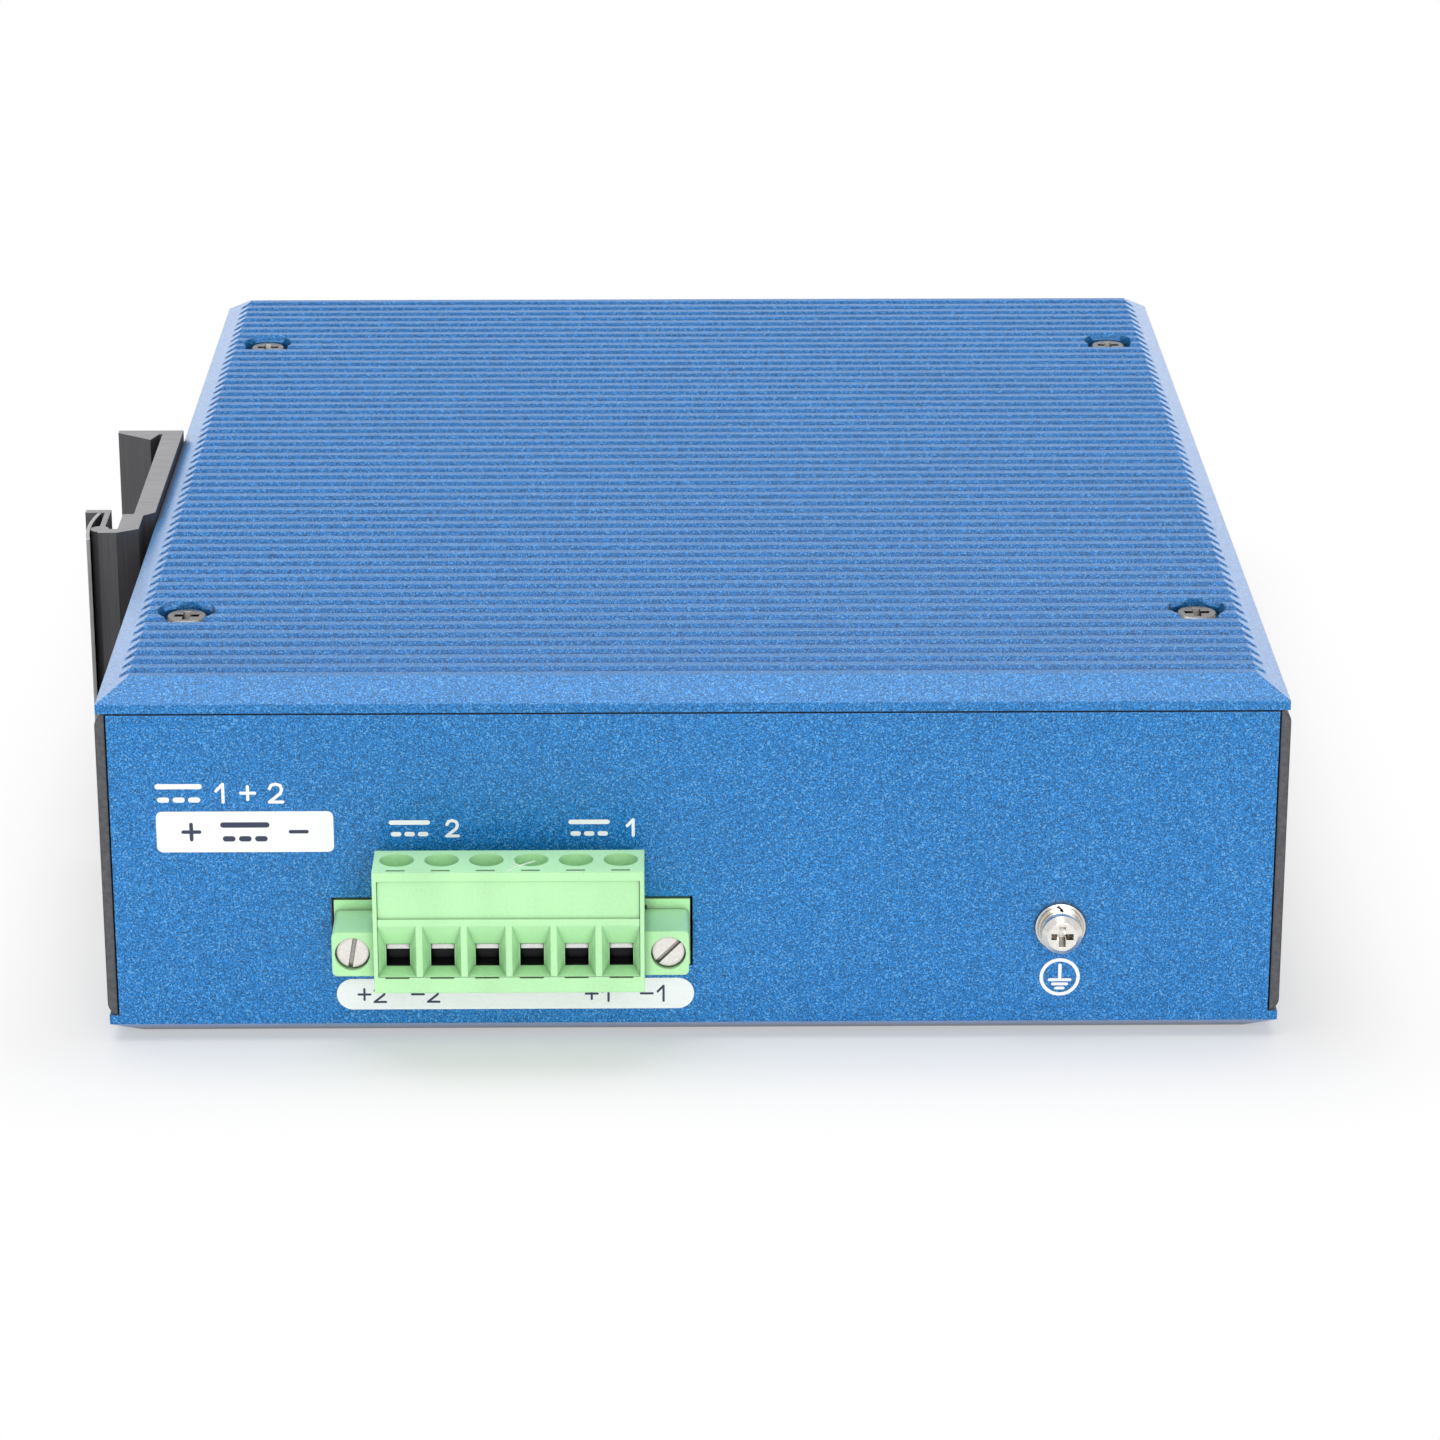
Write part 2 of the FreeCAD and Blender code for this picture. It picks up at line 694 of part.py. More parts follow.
def din_clip():
    """An extruded clip: a fixed lip at its far end and a hook with a rolled nose at its near end."""
    body = new_body("din_clip")
    profile = new_sketch(body, "profile", "XY", "case_height / 2")

    def out(reach):
        return f"-(sheet_out + {reach})"

    hook = "(block_face + hook_gap)"
    outline(profile, [
        (out("0"), "rail_end + lip_back"),
        (out("lip_reach"), "rail_end + lip_back"),
        (out("lip_reach"), "rail_end + lip_back - rim_thick"),
        (out("(clip_base + lip_nose / 2)"), "rail_end - lip_nose"),
        (out("(clip_base + hook_gap / 4)"), "rail_end"),
        (out("clip_base"), "rail_end"),
        (out("clip_base"), "clip_start"),
        (out("block_face"), "clip_start"),
        (out("block_face"), "clip_start - hook_depth"),
        (out(hook), "clip_start - hook_depth"),
        (out(hook), "clip_start + tee_beyond"),
        (out("hook_reach"), "clip_start + tee_beyond"),
        (out("hook_reach"), "clip_start + tee_beyond - tee_thick"),
        (out(f"{hook} + arm_thick"), "clip_start + tee_beyond - tee_thick"),
        (out(f"{hook} + arm_thick"), "clip_start - hook_depth - hook_floor"),
        (out("block_face"), "clip_start - hook_depth - hook_floor"),
        (out("block_lift"), "clip_start - hook_depth"),
        (out("block_lift"), "clip_start - block_lift / 2"),
        (out("0"), "clip_start + block_lift / 2"),
    ])
    pad(body, profile, "clip_length")
    nose = new_sketch(body, "nose", "XY", "case_height / 2")
    circle(nose, out(f"{hook} + nose_radius / 2"), "clip_start - hook_depth", "2 * nose_radius")
    pad(body, nose, "clip_length")
    holes = new_sketch(body, "screw_holes", "YZ", out("clip_base"))
    for level in clip_screw_levels():
        circle(holes, "clip_start + rail_slot / 2", level, "screw_hole")
    pocket(body, holes, "3 * clip_base")
    for number, level in enumerate(clip_screw_levels()):
        mouth = new_sketch(body, f"sink_mouth_{number}", "YZ", out("clip_base"))
        circle(mouth, "clip_start + rail_slot / 2", level, "countersink_dia")
        bottom = new_sketch(body, f"sink_bottom_{number}", "YZ", out("(clip_base - countersink_depth)"))
        circle(bottom, "clip_start + rail_slot / 2", level, "screw_hole")
        loft("Subtractive", body, mouth, bottom)
    return body


def din_spring():
    """The leaf spring: hooked behind the clip's cross bar and bowed over the nose."""
    thick = size("leaf_thick")
    hook = size("sheet_out") + size("block_face") + size("hook_gap")
    nose_y = size("clip_start") - size("hook_depth")
    bar_y = size("clip_start") + size("tee_beyond") - size("tee_thick")
    start = Vector(-hook - size("arm_thick") - thick, bar_y - thick / 2, 0)
    crown = Vector(-hook - 1.5 * size("nose_radius") - size("thread_gap"), nose_y, 0)
    end = Vector(crown.x + thick, nose_y - size("leaf_tail"), 0)
    inner = Part.Arc(start, crown, end).toShape()
    centre = inner.Curve.Center
    grow = (inner.Curve.Radius + thick) / inner.Curve.Radius
    outer_start, outer_crown, outer_end = [centre + (spot - centre) * grow for spot in (start, crown, end)]
    edges = [inner, Part.makeLine(end, outer_end), Part.makeLine(outer_start, start),
             Part.Arc(outer_end, outer_crown, outer_start).toShape()]
    face = Part.Face(Part.Wire(Part.__sortEdges__(edges)))
    length = size("clip_length")
    leaf = face.extrude(Vector(0, 0, length))
    leaf.translate(Vector(0, 0, (size("case_height") - length) / 2))
    return new_feature("din_spring", leaf)


def clip_screw_spots(x_level):
    middle = size("case_height") / 2
    spread = size("clip_screw_spread") / 2
    along = size("clip_start") + size("rail_slot") / 2
    return [(x_level, along, middle + side * spread) for side in (-1, 1)]


def clip_screws():
    """Two countersunk screws through the clip and the rear panel, heads flush with the clip."""
    shank = size("screw_shank") / 2
    length = size("clip_base") + size("sheet_thick") + size("nut_high") + size("thread_spare")
    profile = [(0, -length), (shank, -length), (shank, -size("countersink_depth")),
               (size("countersink_dia") / 2 - size("thread_gap"), 0), (0, 0)]
    recess = cross_recess(size("sink_recess"), size("sink_recess_deep"), 0)
    screw = turned(profile).cut(recess)
    spots = clip_screw_spots(-size("sheet_out") - size("clip_base"))
    return new_feature("clip_screws", Part.makeCompound([placed(screw, spot, Vector(-1, 0, 0))
                                                         for spot in spots]))


def clip_nuts():
    """Hexagon nuts inside the rear panel, on the clip's screws."""
    nut = hexagon(size("nut_flats"), size("nut_high"), size("thread_hole"))
    spots = clip_screw_spots(-size("sheet_in"))
    return new_feature("clip_nuts", Part.makeCompound([placed(nut, spot, Vector(1, 0, 0))
                                                       for spot in spots]))


# ---------------------------------------------------------------- circuit board

def pole_places():
    """A formula for the x of each pole of the terminal."""
    return [f"pole_first + {pole} * pole_pitch" for pole in range(int(SIZES["pole_count"]))]


def pillar_places():
    """The names of the sizes that place the board's four pillars: clear of the jacks at one side."""
    return [(across, along) for across in ("pillar_rail", "pillar_port")
            for along in ("pillar_inset_y", "pillar_far")]


def pillar_spots():
    return [(size(across), size(along)) for across, along in pillar_places()]


def circuit_board():
    body = new_body("circuit_board")
    plan = new_sketch(body, "plan", "XY", "board_low + board_thick / 2")
    rectangle(plan, "board_back", "board_port", "board_near", "board_far")
    for across, along in pillar_places():
        circle(plan, across, along, "screw_hole")
    for x_formula in pole_places():
        leg = "(pin_size / 2 + thread_gap)"
        rectangle(plan, f"{x_formula} - {leg}", f"{x_formula} + {leg}",
                  f"header_depth + pin_size - {leg}", f"header_depth + pin_size + {leg}")
    pad(body, plan, "board_thick")
    return body


def board_standoffs():
    """Hexagonal pillars pressed into the tray's floor; each has a tapped bore."""
    spigot = Part.makeCylinder(size("pillar_spigot_dia") / 2, size("pillar_spigot"),
                               Vector(0, 0, -size("pillar_spigot")))
    pillar = hexagon(size("pillar_flats"), size("board_rise"), size("thread_hole")).fuse(spigot)
    spots = [spot + (size("plate_thick"),) for spot in pillar_spots()]
    return new_feature("board_standoffs", Part.makeCompound([placed(pillar, spot) for spot in spots]))


def board_screws():
    length = size("board_thick") + size("board_rise") * size("thread_bite")
    screw = slot_screw(size("head_dia"), size("head_high"), size("screw_shank"), length)
    spots = [spot + (size("board_top"),) for spot in pillar_spots()]
    return new_feature("board_screws", Part.makeCompound([placed(screw, spot) for spot in spots]))


def chip_heatsink():
    """An extruded comb of fins on the switch chip."""
    body = new_body("chip_heatsink")
    foot = "board_top + chip_high"
    base = new_sketch(body, "base", "XY", f"{foot} + sink_base / 2")
    half = "sink_side / 2"
    rectangle(base, f"chip_x - {half}", f"chip_x + {half}", f"chip_y - {half}", f"chip_y + {half}")
    pad(body, base, "sink_base")
    fin = new_sketch(body, "fin", "YZ", "chip_x")
    rectangle(fin, f"chip_y - {half}", f"chip_y - {half} + fin_thick", f"{foot} + sink_base",
              f"{foot} + sink_high")
    repeat(body, pad(body, fin, "sink_side"), "Y", "fin_count", "sink_pitch")
    return body


def switch_chip():
    return block("switch_chip", "(chip_x - chip_side / 2)", "(chip_y - chip_side / 2)", "board_top",
                 "chip_side", "chip_side", "chip_high")


def rounded_can(radius, height, roll):
    """An upright electrolytic can with a rolled top edge."""
    return turned([(0, 0), (radius, 0), (radius, height - roll), (radius - roll, height), (0, height)])


def filter_capacitors():
    """Upright cans behind the power terminal."""
    can = rounded_can(size("can_dia") / 2, size("can_high"), size("can_roll"))
    spots = [(size("can_x") + i * size("can_pitch"), size("can_y"), size("board_top"))
             for i in range(int(size("can_count")))]
    return new_feature("filter_capacitors", Part.makeCompound([placed(can, spot) for spot in spots]))


def power_transformer():
    """A ferrite core in two halves round a bobbin, on the board."""
    wide = size("core_width")
    deep = size("core_depth")
    high = size("core_high")
    spot = (size("core_x") - wide / 2, size("core_y") - deep / 2, size("board_top"))
    limb = size("core_limb")
    window = size("core_window")
    window_x = (wide - window) / 2
    core = Part.makeBox(wide, deep, high)
    core = core.cut(Part.makeBox(window, deep, high - 2 * limb, Vector(window_x, 0, limb)))
    winding = Part.makeCylinder(size("winding_dia") / 2, high - 2 * limb, Vector(wide / 2, deep / 2, limb))
    winding = winding.common(Part.makeBox(window, deep * 2, high, Vector(window_x, -deep / 2, 0)))
    return new_feature("power_transformer", placed(core.fuse(winding), spot))


def fault_relay():
    return block("fault_relay", "relay_x", "relay_y", "board_top", "relay_width", "relay_depth",
                 "relay_high")


def power_inductor():
    """A square shielded choke with its corners cut off."""
    half = size("choke_side") / 2
    cut = size("choke_corner")
    corners = [(half, cut - half), (half, half - cut), (half - cut, half), (cut - half, half),
               (-half, half - cut), (-half, cut - half), (cut - half, -half), (half - cut, -half)]
    wire = Part.makePolygon([Vector(x, y, 0) for x, y in corners + corners[:1]])
    choke = Part.Face(wire).extrude(Vector(0, 0, size("choke_high")))
    return new_feature("power_inductor", placed(choke, (size("choke_x"), size("choke_y"),
                                                        size("board_top"))))


def memory_chips():
    """Flat packages beside the switch chip."""
    group = doc.addObject("Part::Compound", "memory_chips")
    group.Label = "memory_chips"
    group.Links = [block(f"memory_chip_{i}", "memory_x", f"memory_y + {i} * memory_pitch", "board_top",
                         "memory_width", "memory_depth", "memory_high")
                   for i in range(int(size("memory_count")))]
    return group


# ---------------------------------------------------------------- power terminal

def terminal_header():
    """The board's half of the terminal: a socket with a threaded ear at each side."""
    body = new_body("terminal_header")
    front = new_sketch(body, "front", "XZ", "header_depth / 2")
    rectangle(front, "terminal_x - header_width / 2", "terminal_x + header_width / 2",
              "board_top", "header_top")
    pad(body, front, "header_depth")
    cavity = new_sketch(body, "cavity", "XZ", "0")
    half = "(plug_width / 2 + plug_play)"
    rectangle(cavity, f"terminal_x - {half}", f"terminal_x + {half}", "cavity_low", "cavity_top")
    pocket(body, cavity, "2 * (header_depth - header_back)")
    bores = new_sketch(body, "insert_bores", "XZ", "0")
    for sign in ("-", "+"):
        circle(bores, f"terminal_x {sign} ear_span / 2", "pin_z", "insert_dia + 2 * thread_gap")
    pocket(body, bores, "2 * insert_length")
    holes = new_sketch(body, "pin_holes", "XZ", "header_depth")
    for x_formula in pole_places():
        rectangle(holes, f"{x_formula} - pin_size / 2", f"{x_formula} + pin_size / 2",
                  "pin_z - pin_size / 2", "pin_z + pin_size / 2")
    pocket(body, holes, "3 * header_back")
    return body


def header_pins():
    """Square pins bent down behind the header and through the board."""
    thick = size("pin_size")
    back = size("header_depth") + 1.5 * thick
    free = size("header_depth") - size("header_back") - size("pin_free")
    drop = size("board_low") - 1.5 * thick
    pins = []
    for pole in range(int(size("pole_count"))):
        middle = size("pole_first") + pole * size("pole_pitch")
        bar = box_between((middle - thick / 2, free, size("pin_z") - thick / 2),
                          (middle + thick / 2, back, size("pin_z") + thick / 2))
        leg = box_between((middle - thick / 2, back - thick, drop),
                          (middle + thick / 2, back, size("pin_z")))
        pins.append(bar.fuse(leg).removeSplitter())
    return new_feature("header_pins", Part.makeCompound(pins))


def ear_spots(level):
    return [(size("terminal_x") + side * size("ear_span") / 2, level, size("pin_z")) for side in (-1, 1)]


def flange_inserts():
    """Brass threaded inserts in the header's ears."""
    ring = Part.makeCylinder(size("insert_dia") / 2, size("insert_length"))
    ring = ring.cut(Part.makeCylinder(size("ear_shank") / 2 + size("thread_gap"), size("insert_length")))
    return new_feature("flange_inserts", Part.makeCompound([placed(ring, spot, Vector(0, 1, 0))
                                                            for spot in ear_spots(0)]))


def flange_screws():
    """Slotted screws that hold the plug to the header."""
    seat = size("ear_recess") - size("ear_reach")
    length = size("insert_length") * size("thread_bite") - seat
    screw = slot_screw(size("ear_screw_dia"), size("ear_head_high"), size("ear_shank"), length)
    turns = (80, 45)
    screws = []
    for spot, turn in zip(ear_spots(seat), turns):
        own = screw.copy()
        own.rotate(Vector(0, 0, 0), Vector(0, 0, 1), turn)
        screws.append(placed(own, spot, Vector(0, -1, 0)))
    return new_feature("flange_screws", Part.makeCompound(screws))


def plug_housing():
    """The plug's shell: a tall clamp block, a tail that fills the header, and two screw ears."""
    body = new_body("plug_housing")
    side = new_sketch(body, "side", "YZ", "terminal_x")
    outline(side, [("-plug_reach", "plug_low"), ("-plug_reach", "plug_top"),
                   ("plug_top_depth - plug_reach", "plug_top"),
                   ("plug_top_depth - plug_reach", "tail_top + plug_lift"),
                   ("-plug_play", "tail_top + plug_lift"), ("-plug_play", "tail_top"),
                   ("plug_tail", "tail_top"), ("plug_tail", "tail_low"),
                   ("-plug_play", "tail_low"), ("-plug_play", "plug_low")])
    pad(body, side, "plug_width")
    ears = new_sketch(body, "ears", "XZ", "-(ear_reach + plug_play) / 2")
    rectangle(ears, "terminal_x - ear_width / 2", "terminal_x + ear_width / 2",
              "pin_z - ear_high / 2", "pin_z + ear_high / 2")
    pad(body, ears, "ear_reach - plug_play")
    ear_side = size("ear_width") / 2
    round_edges(body, "ear_corner", lambda spot, way: near(abs(way.y), 1) and near(
        abs(spot.x - size("terminal_x")), ear_side))
    face = new_sketch(body, "face_recess", "XZ", "-plug_reach")
    rectangle(face, "terminal_x - face_half", "terminal_x + face_half", "face_low", "face_top")
    pocket(body, face, "2 * face_thick")
    chambers = new_sketch(body, "chambers", "XZ", "clamp_y")
    holes = new_sketch(body, "clamp_holes", "XY", "plug_top")
    slots = new_sketch(body, "test_slots", "XY", "plug_top")
    passages = new_sketch(body, "passages", "XZ", "0")
    recesses = new_sketch(body, "ear_recesses", "XZ", "-ear_reach")
    shanks = new_sketch(body, "ear_holes", "XZ", "0")
    for x_formula in pole_places():
        wide = "(cage_width / 2 + face_play)"
        rectangle(chambers, f"{x_formula} - {wide}", f"{x_formula} + {wide}",
                  "cage_low - face_play", "cage_low + cage_high + face_play")
        circle(holes, x_formula, "clamp_y", "clamp_hole_dia")
        rectangle(slots, f"{x_formula} - test_slot_wide / 2", f"{x_formula} + test_slot_wide / 2",
                  "test_slot_edge - plug_reach", "test_slot_edge + test_slot_high - plug_reach")
        narrow = "(contact_width / 2 + face_play)"
        rectangle(passages, f"{x_formula} - {narrow}", f"{x_formula} + {narrow}",
                  "tongue_low + tongue_thick - contact_high - face_play",
                  "tongue_low + tongue_thick + face_play")
    for sign in ("-", "+"):
        circle(recesses, f"terminal_x {sign} ear_span / 2", "pin_z", "ear_screw_dia + ear_play")
        circle(shanks, f"terminal_x {sign} ear_span / 2", "pin_z", "ear_shank + ear_play")
    pocket(body, chambers, "cage_depth + 4 * face_play")
    pocket(body, holes, "2 * (plug_top - cage_low - cage_high)")
    pocket(body, slots, "2 * test_slot_deep")
    pocket(body, passages, "-2 * (clamp_y + cage_depth / 2) + 2 * plug_tail")
    pocket(body, recesses, "2 * ear_recess")
    pocket(body, shanks, "4 * ear_reach")
    return body


def plug_cover():
    """The snap-in face of the plug: a sunk label field above, a wire funnel for each pole below."""
    body = new_body("plug_cover")
    face = new_sketch(body, "face", "XZ", "face_thick / 2 - plug_reach")
    rectangle(face, "terminal_x - face_half + face_play", "terminal_x + face_half - face_play",
              "face_low + face_play", "face_top - face_play")
    pad(body, face, "face_thick")
    label = new_sketch(body, "label", "XZ", "-plug_reach")
    rectangle(label, "terminal_x - face_half", "terminal_x + face_half",
              "face_top - label_high", "face_top")
    pocket(body, label, "2 * label_sunk")
    mouth = new_sketch(body, "funnel_mouth", "XZ", "-plug_reach")
    rectangle(mouth, "pole_first - funnel_width / 2", "pole_first + funnel_width / 2",
              "face_low + 2 * face_play", "face_low + 2 * face_play + funnel_high")
    throat = new_sketch(body, "funnel_throat", "XZ", "face_thick - plug_reach")
    rectangle(throat, "pole_first - entry_width / 2", "pole_first + entry_width / 2",
              "entry_low", "entry_low + entry_high")
    repeat(body, loft("Subtractive", body, mouth, throat), "X", "pole_count", "pole_pitch")
    return body


def at_each_pole(name, shape):
    """One copy of a shape for each pole, in one group."""
    copies = [placed(shape, (size("pole_first") + pole * size("pole_pitch"), size("clamp_y"), 0))
              for pole in range(int(size("pole_count")))]
    return new_feature(name, Part.makeCompound(copies))


def clamp_cages():
    """Wire cages that a screw draws up round their contacts' tongues, closed behind to stop the wire."""
    wide = size("cage_width") / 2
    deep = size("cage_depth") / 2
    wall = size("cage_wall")
    low = size("cage_low")
    high = low + size("cage_high")
    cage = box_between((-wide, -deep, low), (wide, deep, high))
    slot_low = size("tongue_low") - size("face_play")
    window = box_between((wall - wide, -deep, low + wall), (wide - wall, deep - wall, high - 2 * wall))
    window = window.fuse(box_between((wall - wide, 0, slot_low), (wide - wall, deep, high - 2 * wall)))
    bore = Part.makeCylinder(size("clamp_screw_dia") / 2 + size("thread_gap"), 3 * wall,
                             Vector(0, 0, high - 2.5 * wall))
    return at_each_pole("clamp_cages", cage.cut(window).cut(bore))


def clamp_screws():
    """Slotted screws in the cages, reached through the holes in the plug's top."""
    seat = size("cage_low") + size("cage_high") + size("thread_gap")
    length = seat - size("tongue_low") - size("tongue_thick")
    head = size("clamp_hole_dia") - 2 * size("clamp_head_play")
    screw = slot_screw(head, size("clamp_head_high"), size("clamp_screw_dia"), length)
    screw.translate(Vector(0, 0, seat))
    return at_each_pole("clamp_screws", screw)


def plug_contacts():
    """Contacts: a tongue through the cage and a square socket for the header's pin."""
    wide = size("contact_width") / 2
    top = size("tongue_low") + size("tongue_thick")
    front = -size("cage_depth") / 2
    knee = size("cage_depth") / 2 + size("face_play")
    end = size("plug_tail") - size("clamp_y") - size("plug_play")
    tongue_wide = size("cage_width") / 2 - size("cage_wall") - size("face_play")
    tongue = box_between((-tongue_wide, front, size("tongue_low")), (tongue_wide, knee, top))
    socket = box_between((-wide, knee, top - size("contact_high")), (wide, end, top))
    hole = size("pin_size") / 2 + size("face_play")
    middle = size("pin_z")
    bore = box_between((-hole, knee + size("contact_floor"), middle - hole), (hole, end, middle + hole))
    return at_each_pole("plug_contacts", tongue.fuse(socket).cut(bore))


# ---------------------------------------------------------------- earth screw

def earth_spot(level):
    return (size("earth_x"), level, size("earth_z"))


def ground_flat_washer():
    ring = Part.makeCylinder(size("flat_dia") / 2, size("flat_thick"))
    ring = ring.cut(Part.makeCylinder(size("screw_hole") / 2, size("flat_thick")))
    return new_feature("ground_flat_washer", placed(ring, earth_spot(0), Vector(0, -1, 0)))


def ground_lock_washer():
    """A spring washer, split at one side."""
    thick = size("lock_thick")
    ring = Part.makeCylinder(size("lock_dia") / 2, thick)
    ring = ring.cut(Part.makeCylinder(size("screw_hole") / 2, thick))
    split = Part.makeBox(size("lock_dia"), size("lock_split"), 2 * thick, Vector(0, 0, -thick / 2))
    split.rotate(Vector(0, 0, thick / 2), Vector(1, 0, 0), size("lock_slant"))
    ring = ring.cut(split)
    ring.rotate(Vector(0, 0, 0), Vector(0, 0, 1), 90)
    return new_feature("ground_lock_washer", placed(ring, earth_spot(-size("flat_thick")),
                                                    Vector(0, -1, 0)))


def ground_screw():
    seat = -size("flat_thick") - size("lock_thick")
    screw = pan_screw(size("earth_head_dia"), size("earth_head_high"), size("screw_shank"),
                      size("earth_bite") - seat)
    return new_feature("ground_screw", placed(screw, earth_spot(seat), Vector(0, -1, 0)))


# ---------------------------------------------------------------- network jacks and lamps

def port_opening(sketch, middle):
    """The outline of one jack's mouth: a rectangle with the stepped latch way below it."""
    levels = ["port_low", "port_low - latch_high", "port_low - latch_high - key_high"]
    halves = ["port_width / 2", "latch_width / 2", "key_width / 2"]
    right = [(f"{middle} + {halves[0]}", "port_top"), (f"{middle} + {halves[0]}", levels[0]),
             (f"{middle} + {halves[1]}", levels[0]), (f"{middle} + {halves[1]}", levels[1]),
             (f"{middle} + {halves[2]}", levels[1]), (f"{middle} + {halves[2]}", levels[2])]
    left = [(first.replace("+ port", "- port").replace("+ latch", "- latch").replace("+ key", "- key"),
             second) for first, second in reversed(right)]
    outline(sketch, right + left)


def gang_middle(number):
    return f"gang_middle {'-' if number == 1 else '+'} gang_offset"


def first_port(number):
    return f"{gang_middle(number)} - (port_count - 1) * port_pitch / 2"


def jack_body(number):
    """The moulded insert of one gang of jacks: a block with a stepped well for each plug."""
    body = new_body(f"jack_body_{number}")
    plan = new_sketch(body, "plan", "YZ", "(jack_front + jack_back) / 2")
    half = "(gang_length / 2 - shield_thick)"
    rectangle(plan, f"{gang_middle(number)} - {half}", f"{gang_middle(number)} + {half}",
              "board_top", "jack_top - shield_thick")
    pad(body, plan, "jack_depth - 2 * shield_thick")
    well = new_sketch(body, "well", "YZ", "jack_front")
    port_opening(well, first_port(number))
    repeat(body, pocket(body, well, "2 * port_depth"), "Y", "port_count", "port_pitch")
    return body


def jack_shield(number):
    """The folded metal shell over one gang, open underneath, with a window for each plug."""
    body = new_body(f"jack_shield_{number}")
    half = "gang_length / 2"
    shell = new_sketch(body, "shell", "YZ", "(jack_front + jack_back) / 2")
    rectangle(shell, f"{gang_middle(number)} - {half}", f"{gang_middle(number)} + {half}",
              "board_top", "jack_top")
    pad(body, shell, "jack_depth")
    inside = new_sketch(body, "inside", "YZ", "(jack_front + jack_back) / 2")
    rectangle(inside, f"{gang_middle(number)} - {half} + shield_thick",
              f"{gang_middle(number)} + {half} - shield_thick", "board_low", "jack_top - shield_thick")
    pocket(body, inside, "jack_depth - 2 * shield_thick")
    window = new_sketch(body, "window", "YZ", "jack_front")
    port_opening(window, first_port(number))
    repeat(body, pocket(body, window, "4 * shield_thick"), "Y", "port_count", "port_pitch")
    return body


def jack_contacts(number):
    """The sloping spring wires in each well of one gang."""
    thick = size("wire_thick")
    back = size("jack_front") - size("port_depth")
    front = back + size("wire_reach")
    roof = size("port_top")
    side = -1 if number == 1 else 1
    first = size("gang_middle") + side * size("gang_offset")
    first -= (size("port_count") - 1) * size("port_pitch") / 2
    dip = size("wire_dip")
    run = [(back, roof), (front, roof), (front, roof - thick), (back + dip, roof - dip),
           (back + dip - thick, roof - dip + thick), (front - dip, roof - thick)]
    wire = Part.makePolygon([Vector(x, 0, z) for x, z in run + run[:1]])
    blade = Part.Face(wire).extrude(Vector(0, thick, 0))
    blades = []
    wires = int(size("wire_count"))
    for port in range(int(size("port_count"))):
        for index in range(wires):
            across = (index - (wires - 1) / 2) * size("wire_pitch")
            y_place = first + port * size("port_pitch") + across - thick / 2
            blades.append(placed(blade, (0, y_place, 0)))
    return new_feature(f"jack_contacts_{number}", Part.makeCompound(blades))


def lamp_spots(level):
    return [(level, size("lamp_first") + lamp * size("lamp_pitch"), size("lamp_z"))
            for lamp in range(int(size("lamp_count")))]


def lamp_holder():
    """The block on the board that carries the status lamps behind the panel."""
    body = new_body("lamp_holder")
    face = new_sketch(body, "face", "YZ", "board_port - lamp_block_depth / 2")
    reach = "(lamp_count * lamp_pitch / 2 + lamp_play)"
    rectangle(face, f"gang_middle - {reach}", f"gang_middle + {reach}", "board_top",
              "board_top + lamp_block_high")
    for lamp in range(int(SIZES["lamp_count"])):
        circle(face, f"lamp_first + {lamp} * lamp_pitch", "lamp_z", "lamp_dia + 2 * thread_gap")
    pad(body, face, "lamp_block_depth")
    return body


def status_lamps():
    """Round lamps with coned tips, held in the block and showing in the panel's holes."""
    radius = size("lamp_dia") / 2
    start = size("board_port") - size("lamp_block_depth")
    length = size("jack_front") - start
    tip = size("lamp_cone")
    lamp = turned([(0, 0), (radius, 0), (radius, length - tip), (radius - tip, length), (0, length)])
    return new_feature("status_lamps", Part.makeCompound([placed(lamp, spot, Vector(1, 0, 0))
                                                          for spot in lamp_spots(start)]))


def check_document():
    """Stop if any object failed to build."""
    for thing in doc.Objects:
        if "Invalid" in thing.State or "Error" in thing.State:
            raise RuntimeError(f"{thing.Label}: {thing.State} {thing.getStatusString()}")


def write_parts(parts):
    """Write each sub-part, in its place, as a STEP file named by its label."""
    for part in parts:
        if part.Shape.isNull() or not part.Shape.isValid():
            raise RuntimeError(f"{part.Label} has no valid shape")
    os.makedirs("parts", exist_ok=True)
    for part in parts:
        part.Shape.exportStep(f"parts/{part.Label}.step")
        print(f"{part.Label}: {len(part.Shape.Solids)} solid(s), {part.Shape.Volume:.1f} mm3")


def main():
    screw_seat = size("counterbore_depth")
    parts = [top_cover(), base_tray(), port_panel(), rear_panel(), clinch_nuts(),
             cover_screws("cover_screws", size("case_height") - screw_seat, 1),
             cover_screws("tray_screws", screw_seat, -1),
             din_clip(), din_spring(), clip_screws(), clip_nuts(),
             circuit_board(), board_standoffs(), board_screws(),
             switch_chip(), chip_heatsink(), memory_chips(), filter_capacitors(),
             power_transformer(), power_inductor(), fault_relay(),
             terminal_header(), header_pins(), flange_inserts(), flange_screws(),
             plug_housing(), plug_cover(), clamp_cages(), clamp_screws(), plug_contacts(),
             ground_screw(), ground_lock_washer(), ground_flat_washer(),
             lamp_holder(), status_lamps()]
    for number in (1, 2):
        parts += [jack_body(number), jack_shield(number), jack_contacts(number)]
    doc.recompute()
    check_document()
    write_parts(parts)


main()
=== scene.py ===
import json
import math

